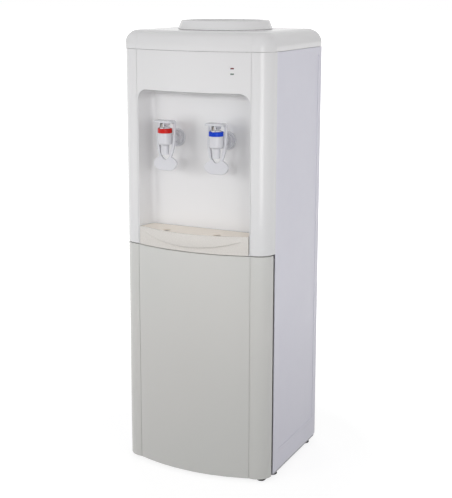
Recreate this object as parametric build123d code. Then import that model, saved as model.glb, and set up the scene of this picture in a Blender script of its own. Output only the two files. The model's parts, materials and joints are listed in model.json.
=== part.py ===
from build123d import *
import math
import os

# A floor-standing hot and cold water dispenser with a storage cabinet, in millimetres.
# The origin is on the floor in the middle of the footprint: X right, Y to the back, Z up.

# Driving sizes of the cabinet
BODY_WIDTH = 310.0
SIDE_FRONT = -88.0
REAR_FACE = 135.5
SIDE_BOTTOM = 11.0
SPLIT_Z = 448.0
SEAM_Z = 822.0
COVER_TOP = 857.5
RIM_TOP = 874.0
SHEET = 1.2
WALL = 3.0

# The front in plan: a bow between two creases, then a rounded corner at each side
CREASE_X = 118.4
CORNER_RADIUS = 32.4
BOW_RISE = 20.0
CREASE_Y = SIDE_FRONT - CORNER_RADIUS
BOW_FRONT = CREASE_Y - BOW_RISE
BOW_RADIUS = (CREASE_X**2 + BOW_RISE**2) / (2 * BOW_RISE)
BOW_CENTRE_Y = BOW_FRONT + BOW_RADIUS
GROOVE_WIDTH = 1.2
GROOVE_DEPTH = 0.8
EDGE_ROUND = 1.5

# Levels and gaps derived from the cabinet sizes
BASE_FLOOR = 6.0
DOOR_BOTTOM = BASE_FLOOR + 0.6
DOOR_GAP = 1.4
DOOR_TOP = SPLIT_Z - DOOR_GAP / 2
PANEL_BOTTOM = SPLIT_Z + DOOR_GAP / 2
DOOR_REAR = SIDE_FRONT - 6.5
REAR_INNER = REAR_FACE - SHEET
SIDE_INNER = BODY_WIDTH / 2 - SHEET
PARTITION_TOP = SPLIT_Z - 8.4
COVER_BOTTOM = SEAM_Z + 0.8
SEAM_GAP = 0.6
PANEL_LIP_REAR = SIDE_FRONT + 10.0

# The alcove, the taps and the tray
ALCOVE_HALF = 116.0
ALCOVE_TOP = 747.5
ALCOVE_CORNER = 20.0
ALCOVE_STRAIGHT_Y = CREASE_Y + 2.4
ALCOVE_BACK = -82.0
ALCOVE_DRAFT = 12.8
ALCOVE_WALL = 2.5
ALCOVE_RIM = 1.5
TAP_X = 53.3
TAP_Y = -130.6
TAP_INLET_Z = 655.4
TAP_RADIUS = 13.5
DECK_TOP = 484.0
LIP_REACH = 9.1

# The bottle seat and the tanks under it
SEAT_Y = 18.0
COLD_RADIUS = 65.0
COLD_BOTTOM = 690.0
HOT_Y = 40.0
HOT_RADIUS = 50.0
HOT_BOTTOM = 470.0
HOT_TOP = 590.0
STUB_RADIUS = 3.5
STUB_BORE = 2.3
TUBE_RADIUS = 5.0

# The door hinge
HINGE_X = 138.0
HINGE_Y = SIDE_FRONT - 17.5
HINGE_PIN = 3.0
RUNNING_GAP = 0.06

PARTS = "parts"
os.makedirs(PARTS, exist_ok=True)
written = []


def keep(node, shape):
    export_step(shape, f"{PARTS}/{node}.step")
    written.append(node)


def block(x0, x1, y0, y1, z0, z1):
    middle = Pos((x0 + x1) / 2, (y0 + y1) / 2, (z0 + z1) / 2)
    return middle * Box(x1 - x0, y1 - y0, z1 - z0)


def post(x, y, z0, z1, radius):
    return Pos(x, y, (z0 + z1) / 2) * Cylinder(radius, z1 - z0)


def bar_x(y, z, x0, x1, radius):
    return Pos((x0 + x1) / 2, y, z) * Rot(0, 90, 0) * Cylinder(radius, x1 - x0)


def bar_y(x, z, y0, y1, radius):
    return Pos(x, (y0 + y1) / 2, z) * Rot(90, 0, 0) * Cylinder(radius, y1 - y0)


def turned(points, x=0.0, y=0.0):
    """A profile of (radius, height) points turned about a vertical axis at x, y."""
    face = make_face(Polyline([(r, 0, z) for r, z in points], close=True))
    return Pos(x, y, 0) * revolve(face, Axis.Z)


def tube_along(points, bend, outer, inner):
    path = FilletPolyline(*points, radius=bend) if len(points) > 2 else Line(*points)
    section = Plane(origin=path @ 0, z_dir=path % 0) * (Circle(outer) - Circle(inner))
    return sweep(section, path)


def bow_y(x, inset=0.0):
    return BOW_CENTRE_Y - math.sqrt((BOW_RADIUS - inset) ** 2 - x**2)


def front_plan(inset, rear):
    half = BODY_WIDTH / 2 - inset
    corner = CORNER_RADIUS - inset
    centre_x = BODY_WIDTH / 2 - CORNER_RADIUS
    flat_y = CREASE_Y + inset
    bow = BOW_RADIUS - inset
    crease = math.sqrt(bow**2 - (BOW_CENTRE_Y - flat_y) ** 2)
    lean = corner * math.sqrt(0.5)
    edges = []
    for side in (1, -1):
        start = (side * half, SIDE_FRONT)
        middle = (side * (centre_x + lean), SIDE_FRONT - lean)
        end = (side * centre_x, flat_y)
        if rear > SIDE_FRONT:
            edges.append(Line((side * half, rear), start))
        edges.append(ThreePointArc(start, middle, end))
        edges.append(Line(end, (side * crease, flat_y)))
    edges.append(ThreePointArc((crease, flat_y), (0, BOW_CENTRE_Y - bow), (-crease, flat_y)))
    edges.append(Line((half, rear), (-half, rear)))
    return make_face(edges)


def front_slab(inset, rear, z0, z1):
    return extrude(Pos(0, 0, z0) * front_plan(inset, rear), z1 - z0)


def front_edges(solid, level):
    """The edges of the bowed front at the bottom (0) or the top (-1) of a slab."""
    outline = solid.faces().sort_by(Axis.Z)[level].outer_wire().edges()
    return [edge for edge in outline if edge.center().Y < SIDE_FRONT - 0.5]


def crease_grooves(z0, z1):
    x0 = CREASE_X - GROOVE_WIDTH / 2
    x1 = CREASE_X + GROOVE_WIDTH / 2
    front = CREASE_Y - 2.0
    right = block(x0, x1, front, CREASE_Y + GROOVE_DEPTH, z0, z1)
    return right + mirror(right, Plane.YZ)


# Base pan, feet and the sheet-metal shell
PAN_HALF = SIDE_INNER - 0.4
PAN_RIM = 24.0
pan_front = SIDE_FRONT + 4.0
pan_rear = REAR_INNER - 1.8
base_pan = block(-PAN_HALF, PAN_HALF, pan_front, pan_rear, BASE_FLOOR, PAN_RIM)
base_pan -= block(
    WALL - PAN_HALF, PAN_HALF - WALL, pan_front + WALL, pan_rear - WALL, BASE_FLOOR + WALL, PAN_RIM + 1
)
keep("base_pan", base_pan)

FOOT_X = 142.0
FOOT_FRONT_Y = -64.0
FOOT_REAR_Y = 106.0
foot_profile = [(0, 0), (10.5, 0), (11, 1), (9.5, BASE_FLOOR), (0, BASE_FLOOR)]
feet = [turned(foot_profile, x, y) for x in (-FOOT_X, FOOT_X) for y in (FOOT_FRONT_Y, FOOT_REAR_Y)]
keep("feet", Compound(children=feet))

FIELD_FRONT = SIDE_FRONT + 24.0
FIELD_REAR = REAR_INNER - 16.0
FIELD_BOTTOM = SIDE_BOTTOM + 40.0
FIELD_TOP = SEAM_Z - 14.0
FIELD_STEP = 0.7
FLANGE = 12.0
side_outer = BODY_WIDTH / 2
side_panel = block(SIDE_INNER, side_outer, SIDE_FRONT, REAR_INNER, SIDE_BOTTOM, SEAM_Z)
side_panel += block(
    SIDE_INNER - FIELD_STEP, SIDE_INNER, FIELD_FRONT, FIELD_REAR, FIELD_BOTTOM, FIELD_TOP
)
side_panel -= block(
    side_outer - FIELD_STEP, side_outer, FIELD_FRONT + 1, FIELD_REAR - 1, FIELD_BOTTOM + 1, FIELD_TOP - 1
)
side_panel -= block(
    side_outer - FIELD_STEP / 2, side_outer, FIELD_FRONT, FIELD_REAR, FIELD_BOTTOM - 6, FIELD_BOTTOM - 4
)
side_panel += block(
    SIDE_INNER - FLANGE, SIDE_INNER, REAR_INNER - SHEET, REAR_INNER, PAN_RIM + 2, SEAM_Z
)
side_panel += block(
    SIDE_INNER - FLANGE, SIDE_INNER, PANEL_LIP_REAR + 4, REAR_INNER, SEAM_Z - SHEET, SEAM_Z
)
SCREW_X = SIDE_INNER - 6.0
SCREW_HEIGHTS = [60.0, 250.0, 430.0, 620.0, 800.0]
SCREW_RADIUS = 1.7
SCREW_REACH = 5.0
SCREW_HEAD = 3.6
SCREW_HEAD_HEIGHT = 2.0
SLOT_HALF = 2.4
screw_points = [(side * SCREW_X, z) for side in (-1, 1) for z in SCREW_HEIGHTS]
for screw_z in SCREW_HEIGHTS:
    side_panel -= bar_y(SCREW_X, screw_z, REAR_INNER - SCREW_REACH, REAR_INNER + 1, SCREW_RADIUS)
keep("right_side_panel", side_panel)
keep("left_side_panel", mirror(side_panel, Plane.YZ))

# Rear panel with its slots, and the holes for the fittings on it
SWITCH_X = -95.0
SWITCH_Z = 480.0
SWITCH_HALF_WIDTH = 17.0
SWITCH_HALF_HEIGHT = 15.0
GLAND_X = 95.0
GLAND_Z = 466.0
GLAND_RADIUS = 8.0
DRAIN_Z = 455.0
DRAIN_RADIUS = 6.0
DRAIN_BORE = 4.0
FAN_Z = 745.0
FIT_GAP = 0.2
SLOT_HEIGHT = 4.0
SLOT_PITCH = 9.0
FAN_SLOT_HALF = 40.0
FAN_SLOT_COUNT = 9
TANK_SLOT_HALF = 38.0
TANK_SLOT_COUNT = 7
TANK_SLOT_X = 80.0
TANK_SLOT_Z = 580.0
rear_panel = block(
    1 - BODY_WIDTH / 2, BODY_WIDTH / 2 - 1, REAR_INNER, REAR_FACE, SIDE_BOTTOM + 1, SEAM_Z - 1
)


def rear_slots(x, z, half_length, count):
    first = z - SLOT_PITCH * (count - 1) / 2
    slot = Pos(x, REAR_FACE, first) * Rot(90, 0, 0) * extrude(
        SlotOverall(2 * half_length, SLOT_HEIGHT), 6, both=True
    )
    return [Pos(0, 0, SLOT_PITCH * step) * slot for step in range(count)]


def rear_hole(x, z, radius):
    return bar_y(x, z, REAR_INNER - 1, REAR_FACE + 1, radius)


def switch_block(grow, y0, y1):
    half_width = SWITCH_HALF_WIDTH + grow
    half_height = SWITCH_HALF_HEIGHT + grow
    return block(
        SWITCH_X - half_width, SWITCH_X + half_width, y0, y1, SWITCH_Z - half_height, SWITCH_Z + half_height
    )


rear_openings = rear_slots(0, FAN_Z, FAN_SLOT_HALF, FAN_SLOT_COUNT)
for side in (-1, 1):
    rear_openings += rear_slots(side * TANK_SLOT_X, TANK_SLOT_Z, TANK_SLOT_HALF, TANK_SLOT_COUNT)
rear_openings.append(rear_hole(0, DRAIN_Z, DRAIN_RADIUS + FIT_GAP))
rear_openings.append(rear_hole(GLAND_X, GLAND_Z, GLAND_RADIUS + FIT_GAP))
rear_openings.append(switch_block(FIT_GAP, REAR_INNER - 1, REAR_FACE + 1))
rear_openings += [rear_hole(x, z, SCREW_RADIUS) for x, z in screw_points]
for opening in rear_openings:
    rear_panel -= opening
keep("rear_panel", rear_panel)


def pan_head_screw(x, z):
    screw = bar_y(x, z, REAR_INNER - SCREW_REACH, REAR_FACE, SCREW_RADIUS)
    head = bar_y(x, z, REAR_FACE, REAR_FACE + SCREW_HEAD_HEIGHT, SCREW_HEAD)
    slot_floor = REAR_FACE + SCREW_HEAD_HEIGHT / 2
    slot = block(x - SLOT_HALF, x + SLOT_HALF, slot_floor, REAR_FACE + 3, z - 0.4, z + 0.4)
    return screw + head - slot


keep("rear_panel_screws", Compound(children=[pan_head_screw(x, z) for x, z in screw_points]))

# Storage liner and the partition over it
LINER_HALF = 147.0
LINER_WALL = 2.0
LINER_FRONT = SIDE_FRONT + 8.0
LINER_REAR = 129.0
LINER_BOTTOM = PAN_RIM + 0.6
LINER_TOP = PARTITION_TOP - 3.6
LINER_FLANGE_HALF = SIDE_INNER - 1.3
cabinet_liner = block(-LINER_HALF, LINER_HALF, LINER_FRONT, LINER_REAR, LINER_BOTTOM, LINER_TOP)
cabinet_liner += block(
    -LINER_FLANGE_HALF, LINER_FLANGE_HALF, LINER_FRONT - LINER_WALL, LINER_FRONT, LINER_BOTTOM, LINER_TOP
)
cabinet_liner -= block(
    LINER_WALL - LINER_HALF,
    LINER_HALF - LINER_WALL,
    LINER_FRONT - 5,
    LINER_REAR - LINER_WALL,
    LINER_BOTTOM + LINER_WALL,
    LINER_TOP - LINER_WALL,
)
keep("cabinet_liner", cabinet_liner)

PARTITION_SHEET = 1.6
partition_rear = REAR_INNER - 2
partition_low = PARTITION_TOP - PARTITION_SHEET
partition = block(
    -LINER_FLANGE_HALF, LINER_FLANGE_HALF, PANEL_LIP_REAR, partition_rear, partition_low, PARTITION_TOP
)
keep("partition", partition)

# Upper front panel: a bowed shell, a floor under the tray and the drafted alcove
panel_top = COVER_BOTTOM - SEAM_GAP
panel_floor = PANEL_BOTTOM + WALL
front_panel = front_slab(0, SIDE_FRONT, PANEL_BOTTOM, panel_top)
front_panel = fillet(front_edges(front_panel, 0), EDGE_ROUND)
front_panel -= front_slab(WALL, SIDE_FRONT + 1, panel_floor, panel_top + 1)
lip = front_slab(1.7, PANEL_LIP_REAR, PANEL_BOTTOM, panel_top - 1)
lip -= front_slab(4.2, PANEL_LIP_REAR + 1, panel_floor, panel_top + 1)
front_panel += lip - block(-200, 200, -200, SIDE_FRONT - 2, 0, 900)


def alcove_face(grow, y):
    half = ALCOVE_HALF + grow
    top = ALCOVE_TOP + grow
    bottom = SPLIT_Z - 120.0
    outline = RectangleRounded(2 * half, top - bottom, ALCOVE_CORNER + grow)
    return Pos(0, y, (top + bottom) / 2) * Rot(90, 0, 0) * outline


def alcove_solid(grow):
    straight = extrude(alcove_face(grow, ALCOVE_STRAIGHT_Y + 0.1), 40, dir=(0, -1, 0))
    depth = ALCOVE_BACK - ALCOVE_STRAIGHT_Y + grow
    drafted = extrude(alcove_face(grow, ALCOVE_STRAIGHT_Y), depth, dir=(0, 1, 0), taper=ALCOVE_DRAFT)
    back = drafted.faces().sort_by(Axis.Y)[-1]
    drafted = fillet(back.edges(), 12.0 + grow)
    return straight + drafted


above_floor = block(-200, 200, -200, 0, PANEL_BOTTOM, SEAM_Z)
alcove_shell = alcove_solid(ALCOVE_WALL) & above_floor
alcove_shell &= front_slab(0, 0, PANEL_BOTTOM, SEAM_Z)
alcove_cavity = alcove_solid(0)
front_panel += alcove_shell
front_panel -= alcove_cavity & block(-200, 200, -200, 0, panel_floor, SEAM_Z)


def on_alcove_rim(edge):
    spot = edge @ 0.5
    on_bow = abs(math.hypot(spot.X, spot.Y - BOW_CENTRE_Y) - BOW_RADIUS) < 0.05
    inside = abs(spot.X) < ALCOVE_HALF + 0.2
    return on_bow and inside and panel_floor + 5 < spot.Z < ALCOVE_TOP + 1


front_panel = fillet([edge for edge in front_panel.edges() if on_alcove_rim(edge)], ALCOVE_RIM)
APRON_ROOM = 5.5
apron_cut = block(-ALCOVE_HALF, ALCOVE_HALF, BOW_FRONT - 9, CREASE_Y + 8, PANEL_BOTTOM - 1, panel_floor + 1)
apron_cut -= front_slab(APRON_ROOM, SIDE_FRONT, PANEL_BOTTOM - 2, panel_floor + 2)
front_panel -= apron_cut
front_panel -= crease_grooves(PANEL_BOTTOM, panel_top + 1)
for side in (-1, 1):
    front_panel -= bar_y(side * TAP_X, TAP_INLET_Z, ALCOVE_BACK - 1, ALCOVE_BACK + 4, 8.2)
front_panel -= post(HINGE_X, HINGE_Y, PANEL_BOTTOM - 1, panel_floor + 1, HINGE_PIN)

# Indicator lights on the bow, and the board behind them
LIGHT_X = 85.0
HEAT_LIGHT_Z = 793.0
COOL_LIGHT_Z = 783.0
LIGHT_WIDTH = 6.4
LIGHT_HEIGHT = 2.6
light_turn = math.degrees(math.asin(LIGHT_X / BOW_RADIUS))


def light_bar(z, y0, y1, grow=0.0):
    half_width = LIGHT_WIDTH / 2 + grow
    half_height = LIGHT_HEIGHT / 2 + grow
    bar = block(-half_width, half_width, y0, y1, -half_height, half_height)
    return Pos(0, BOW_CENTRE_Y, z) * Rot(0, 0, light_turn) * Pos(0, -BOW_RADIUS, 0) * bar


BOARD_FRONT = bow_y(LIGHT_X) + 12.0
board_bosses = [(LIGHT_X - 9, 799.0), (LIGHT_X + 9, 777.0)]
for boss_x, boss_z in board_bosses:
    front_panel += bar_y(boss_x, boss_z, bow_y(boss_x) + 1.5, BOARD_FRONT, 2.5)
for light_z in (HEAT_LIGHT_Z, COOL_LIGHT_Z):
    front_panel -= light_bar(light_z, -1, 6)
keep("front_panel", front_panel)
for node, light_z in (("heat_light", HEAT_LIGHT_Z), ("cool_light", COOL_LIGHT_Z)):
    lens = light_bar(light_z, -0.4, WALL + 0.2) + light_bar(light_z, WALL + 0.2, WALL + 1.4, 0.9)
    keep(node, lens)
light_board = block(LIGHT_X - 13, LIGHT_X + 13, BOARD_FRONT, BOARD_FRONT + 1.6, 773, 803)
for light_z in (HEAT_LIGHT_Z, COOL_LIGHT_Z):
    light_board += bar_y(LIGHT_X, light_z, BOARD_FRONT - 5, BOARD_FRONT, 1.5)
keep("light_board", light_board)

# Top cover: the plan outline with a deep rounded top edge and a round hole
COVER_OVERHANG = 1.2
COVER_ROUND = 26.0
SEAT_HOLE = 89.0
cover_rear = REAR_FACE + COVER_OVERHANG
top_cover = front_slab(-COVER_OVERHANG, cover_rear, COVER_BOTTOM, COVER_TOP)
rear_corners = top_cover.edges().filter_by(Axis.Z).sort_by(Axis.Y)[-2:]
top_cover = fillet(rear_corners, 8.0)
top_edges = top_cover.faces().sort_by(Axis.Z)[-1].outer_wire().edges()
top_cover = fillet(top_edges, COVER_ROUND)
for inset, below_top in ((WALL, 16.0), (11.0, 6.5), (19.0, WALL)):
    hollow_rear = cover_rear - COVER_OVERHANG - inset
    top_cover -= front_slab(inset, hollow_rear, COVER_BOTTOM - 1, COVER_TOP - below_top)
top_cover -= post(0, SEAT_Y, COVER_TOP - 20, COVER_TOP + 1, SEAT_HOLE)
keep("top_cover", top_cover)

# Bottle seat: the collar that is seen, a funnel inside it and a socket for the bottle's neck
seat_profile = [
    (85.0, RIM_TOP),
    (91.4, COVER_TOP + 1.2),
    (91.4, COVER_TOP + 0.2),
    (88.0, COVER_TOP + 0.2),
    (88.0, COVER_TOP - 19),
    (85.5, COVER_TOP - 19),
    (85.5, COVER_TOP - 6.5),
    (81.0, COVER_TOP - 6.5),
    (33.0, COVER_TOP - 54.5),
    (33.0, COVER_TOP - 83.5),
    (11.0, COVER_TOP - 83.5),
    (11.0, COVER_TOP - 80.5),
    (30.0, COVER_TOP - 80.5),
    (30.0, COVER_TOP - 53.3),
    (78.0, COVER_TOP - 5.3),
    (78.0, RIM_TOP - 3),
    (80.0, RIM_TOP),
]
keep("bottle_seat", turned(seat_profile, 0, SEAT_Y))
socket_floor = COVER_TOP - 80.5
probe_profile = [
    (6.0, socket_floor - 10),
    (11.0, socket_floor - 10),
    (11.0, socket_floor),
    (16.0, socket_floor),
    (16.0, socket_floor + 3),
    (8.5, socket_floor + 5),
    (8.5, socket_floor + 59),
    (3.0, socket_floor + 69),
    (0.0, socket_floor + 69),
    (0.0, socket_floor + 63),
    (6.0, socket_floor + 57),
]
bottle_probe = turned(probe_profile, 0, SEAT_Y)
bottle_probe -= bar_y(0, socket_floor + 50, SEAT_Y - 12, SEAT_Y + 12, 3.0)
bottle_probe -= bar_x(SEAT_Y, socket_floor + 50, -12, 12, 3.0)
keep("bottle_probe", bottle_probe)

# Cold tank in its foam, and the thermoelectric cooler behind it
COLD_TOP = 800.0
FEED_X = 20.0
COLD_OUTLET = (30.0, -7.0)
FOAM_RADIUS = 88.0
FOAM_REAR = 96.0
cold_tank = post(0, SEAT_Y, COLD_BOTTOM, COLD_TOP, COLD_RADIUS)
cold_tank += post(0, SEAT_Y, COLD_TOP - 2, COLD_TOP, COLD_RADIUS + 4)
cold_tank -= post(0, SEAT_Y, COLD_BOTTOM + 1.5, COLD_TOP + 1, COLD_RADIUS - 1.5)
cold_ports = [COLD_OUTLET, (FEED_X, HOT_Y)]
for port_x, port_y in cold_ports:
    cold_tank += post(port_x, port_y, COLD_BOTTOM - 12, COLD_BOTTOM, STUB_RADIUS)
    cold_tank -= post(port_x, port_y, COLD_BOTTOM - 13, COLD_BOTTOM + 2, STUB_BORE)
keep("cold_tank", cold_tank)

COOLER_HALF = 20.0
cooler_low = FAN_Z - COOLER_HALF
cooler_high = FAN_Z + COOLER_HALF
cold_foam = post(0, SEAT_Y, COLD_BOTTOM - 16, COLD_TOP - 3, FOAM_RADIUS)
cold_foam -= post(0, SEAT_Y, COLD_BOTTOM - 0.5, COLD_TOP, COLD_RADIUS + 0.6)
cold_foam -= block(-100, 100, FOAM_REAR, 200, COLD_BOTTOM - 20, COLD_TOP)
cold_foam -= block(
    -COOLER_HALF - 1, COOLER_HALF + 1, SEAT_Y + 50, FOAM_REAR + 1, cooler_low - 1, cooler_high + 1
)
for port_x, port_y in cold_ports:
    cold_foam -= post(port_x, port_y, COLD_BOTTOM - 20, COLD_BOTTOM, TUBE_RADIUS + 1)
keep("cold_foam", cold_foam)

MODULE_FRONT = SEAT_Y + COLD_RADIUS + 10
MODULE_REAR = MODULE_FRONT + 4
SINK_HALF = 40.0
SINK_BASE = 5.0
SINK_REAR = MODULE_REAR + 20
cold_block = block(-COOLER_HALF, COOLER_HALF, SEAT_Y + 56, MODULE_FRONT, cooler_low, cooler_high)
cold_block -= post(0, SEAT_Y, cooler_low - 1, cooler_high + 1, COLD_RADIUS + 0.05)
keep("cold_block", cold_block)
keep("cooling_module", block(-COOLER_HALF, COOLER_HALF, MODULE_FRONT, MODULE_REAR, cooler_low, cooler_high))
heat_sink = block(
    -SINK_HALF, SINK_HALF, MODULE_REAR, MODULE_REAR + SINK_BASE, FAN_Z - SINK_HALF, FAN_Z + SINK_HALF
)
FIN_COUNT = 14
FIN_THICKNESS = 1.5
fin_pitch = (2 * SINK_HALF - FIN_THICKNESS) / (FIN_COUNT - 1)
for step in range(FIN_COUNT):
    fin_x = step * fin_pitch - SINK_HALF
    fin_end = fin_x + FIN_THICKNESS
    heat_sink += block(
        fin_x, fin_end, MODULE_REAR + SINK_BASE, SINK_REAR, FAN_Z - SINK_HALF, FAN_Z + SINK_HALF
    )
keep("heat_sink", heat_sink)

FAN_FRONT = SINK_REAR + 0.5
FAN_REAR = FAN_FRONT + 15.0
FAN_BORE = 37.0
HUB_RADIUS = 15.0
SHAFT_RADIUS = 2.0
fan_frame = block(-SINK_HALF, SINK_HALF, FAN_FRONT, FAN_REAR, FAN_Z - SINK_HALF, FAN_Z + SINK_HALF)
fan_frame -= bar_y(0, FAN_Z, FAN_FRONT - 1, FAN_REAR + 1, FAN_BORE)
fan_frame += bar_y(0, FAN_Z, FAN_REAR - 2.5, FAN_REAR, HUB_RADIUS)
fan_frame += bar_y(0, FAN_Z, FAN_FRONT + 4, FAN_REAR - 2.5, SHAFT_RADIUS)
for turn in range(4):
    strut = block(HUB_RADIUS - 2, FAN_BORE + 1, FAN_REAR - 2.5, FAN_REAR, -2, 2)
    fan_frame += Pos(0, 0, FAN_Z) * Rot(0, 45 + 90 * turn, 0) * strut
keep("fan_frame", fan_frame)
fan_rotor = bar_y(0, 0, FAN_FRONT + 1.5, FAN_REAR - 3.5, HUB_RADIUS)
BLADE_COUNT = 7
blade = Pos(HUB_RADIUS + 9, (FAN_FRONT + FAN_REAR) / 2 - 1, 0) * Rot(32, 0, 0) * Box(22, 1.4, 13)
for turn in range(BLADE_COUNT):
    fan_rotor += Rot(0, turn * 360 / BLADE_COUNT, 0) * blade
fan_rotor &= bar_y(0, 0, FAN_FRONT + 1, FAN_REAR - 3.2, FAN_BORE - 1.5)
fan_rotor -= bar_y(0, 0, FAN_FRONT + 3, FAN_REAR, SHAFT_RADIUS + RUNNING_GAP)
keep("fan_rotor", Pos(0, 0, FAN_Z) * fan_rotor)

# Hot tank, its heater band, jacket and thermostats, and the drain at the back
HOT_OUTLET = (-25.0, 15.0)
JACKET_RADIUS = 62.0
hot_outer = post(0, HOT_Y, HOT_BOTTOM, HOT_TOP, HOT_RADIUS)
hot_tank = fillet(hot_outer.edges(), 12.0)
hot_inner = post(0, HOT_Y, HOT_BOTTOM + SHEET, HOT_TOP - SHEET, HOT_RADIUS - SHEET)
hot_tank -= fillet(hot_inner.edges(), 12.0 - SHEET)
for port_x, port_y in (HOT_OUTLET, (FEED_X, HOT_Y)):
    hot_tank += post(port_x, port_y, HOT_TOP - 1, HOT_TOP + 14, STUB_RADIUS)
    hot_tank -= post(port_x, port_y, HOT_TOP - 5, HOT_TOP + 15, STUB_BORE)
hot_tank -= post(0, HOT_Y, HOT_BOTTOM - 1, HOT_BOTTOM + 5, DRAIN_BORE)
keep("hot_tank", hot_tank)
BAND_LOW = HOT_BOTTOM + 20.0
BAND_HIGH = HOT_BOTTOM + 60.0
BAND_SPLIT_HALF = 3.0
band = post(0, HOT_Y, BAND_LOW, BAND_HIGH, HOT_RADIUS + 2)
band -= post(0, HOT_Y, BAND_LOW - 1, BAND_HIGH + 1, HOT_RADIUS)
band -= block(-BAND_SPLIT_HALF, BAND_SPLIT_HALF, HOT_Y - 70, HOT_Y, BAND_LOW - 1, BAND_HIGH + 1)
keep("heater_band", band)
hot_jacket = post(0, HOT_Y, PARTITION_TOP, HOT_TOP + 8, JACKET_RADIUS)
hot_jacket -= post(0, HOT_Y, HOT_BOTTOM, HOT_TOP + 9, HOT_RADIUS + 2.5)
hot_jacket -= block(-7, 7, HOT_Y - 8, HOT_Y + 80, PARTITION_TOP - 1, HOT_BOTTOM + 1)
keep("hot_jacket", hot_jacket)
THERMOSTAT_X = 22.0
thermostats = [post(x, HOT_Y + 18, HOT_TOP, HOT_TOP + 7, 8.0) for x in (-THERMOSTAT_X, THERMOSTAT_X)]
keep("thermostats", Compound(children=thermostats))
drain_points = [(0, HOT_Y, HOT_BOTTOM), (0, HOT_Y, DRAIN_Z), (0, REAR_FACE + 9, DRAIN_Z)]
drain_pipe = tube_along(drain_points, 10.0, DRAIN_RADIUS, DRAIN_BORE)
drain_collar = bar_y(0, DRAIN_Z, REAR_FACE, REAR_FACE + 1.5, 10.0)
drain_pipe += drain_collar - bar_y(0, DRAIN_Z, REAR_FACE - 1, REAR_FACE + 3, DRAIN_BORE + 0.5)
keep("drain_pipe", drain_pipe)
DRAIN_CAP_REAR = REAR_FACE + 14.0
drain_cap = bar_y(0, DRAIN_Z, REAR_FACE + 2, DRAIN_CAP_REAR, 9.0)
drain_cap = fillet(drain_cap.faces().sort_by(Axis.Y)[-1].edges(), 1.5)
drain_cap -= bar_y(0, DRAIN_Z, REAR_FACE, REAR_FACE + 10, DRAIN_RADIUS + 0.3)
GRIP_COUNT = 12
for turn in range(GRIP_COUNT):
    grip = bar_y(9.4, 0, REAR_FACE + 3, REAR_FACE + 12, 0.9)
    drain_cap -= Pos(0, 0, DRAIN_Z) * Rot(0, turn * 360 / GRIP_COUNT, 0) * grip
keep("drain_cap", drain_cap)

# Silicone tubes between the tanks and the taps
TUBE_END = -61.0
cold_path = [
    (*COLD_OUTLET, COLD_BOTTOM - 3),
    (*COLD_OUTLET, TAP_INLET_Z),
    (TAP_X, -30, TAP_INLET_Z),
    (TAP_X, TUBE_END, TAP_INLET_Z),
]
keep("cold_outlet_tube", tube_along(cold_path, 10.0, TUBE_RADIUS, STUB_RADIUS))
hot_path = [
    (*HOT_OUTLET, HOT_TOP + 4),
    (*HOT_OUTLET, TAP_INLET_Z),
    (-TAP_X, -28, TAP_INLET_Z),
    (-TAP_X, TUBE_END, TAP_INLET_Z),
]
keep("hot_outlet_tube", tube_along(hot_path, 10.0, TUBE_RADIUS, STUB_RADIUS))
feed_path = [(FEED_X, HOT_Y, HOT_TOP + 4), (FEED_X, HOT_Y, COLD_BOTTOM - 3)]
keep("hot_feed_tube", tube_along(feed_path, 10.0, TUBE_RADIUS, STUB_RADIUS))

# Power board on the partition, and the fittings on the rear panel
BOARD_LEFT = -145.0
BOARD_RIGHT = -75.0
BOARD_NEAR = 20.0
BOARD_FAR = 112.0
BOARD_Z = PARTITION_TOP + 8.0
BOARD_SHEET = 1.6
board_top = BOARD_Z + BOARD_SHEET
power_board = block(BOARD_LEFT, BOARD_RIGHT, BOARD_NEAR, BOARD_FAR, BOARD_Z, board_top)
for stand_x in (BOARD_LEFT + 5, BOARD_RIGHT - 5):
    for stand_y in (BOARD_NEAR + 5, BOARD_FAR - 5):
        power_board += post(stand_x, stand_y, PARTITION_TOP, BOARD_Z, 3.0)
coil_left = BOARD_LEFT + 7
transformer = block(coil_left, coil_left + 38, BOARD_FAR - 52, BOARD_FAR - 16, board_top, board_top + 30)
cooling_plate = block(coil_left, coil_left + 46, BOARD_NEAR + 14, BOARD_NEAR + 18, board_top, board_top + 22)
large_capacitor = post(BOARD_RIGHT - 13, BOARD_FAR - 22, board_top, board_top + 26, 8.0)
small_capacitor = post(BOARD_RIGHT - 13, BOARD_FAR - 42, board_top, board_top + 20, 6.0)
power_board += transformer + cooling_plate
power_board += large_capacitor + small_capacitor
keep("power_board", power_board)

GLAND_BORE = 4.0
GLAND_FLANGE = 11.0
gland_profile = [
    (GLAND_BORE, -12),
    (GLAND_RADIUS, -12),
    (GLAND_RADIUS, 0),
    (GLAND_FLANGE, 0),
    (GLAND_FLANGE, 1.5),
    (GLAND_FLANGE - 2, 4),
    (GLAND_BORE, 4),
]
cord_gland = turned(gland_profile)
keep("cord_gland", Pos(GLAND_X, REAR_FACE, GLAND_Z) * Rot(-90, 0, 0) * cord_gland)

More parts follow.
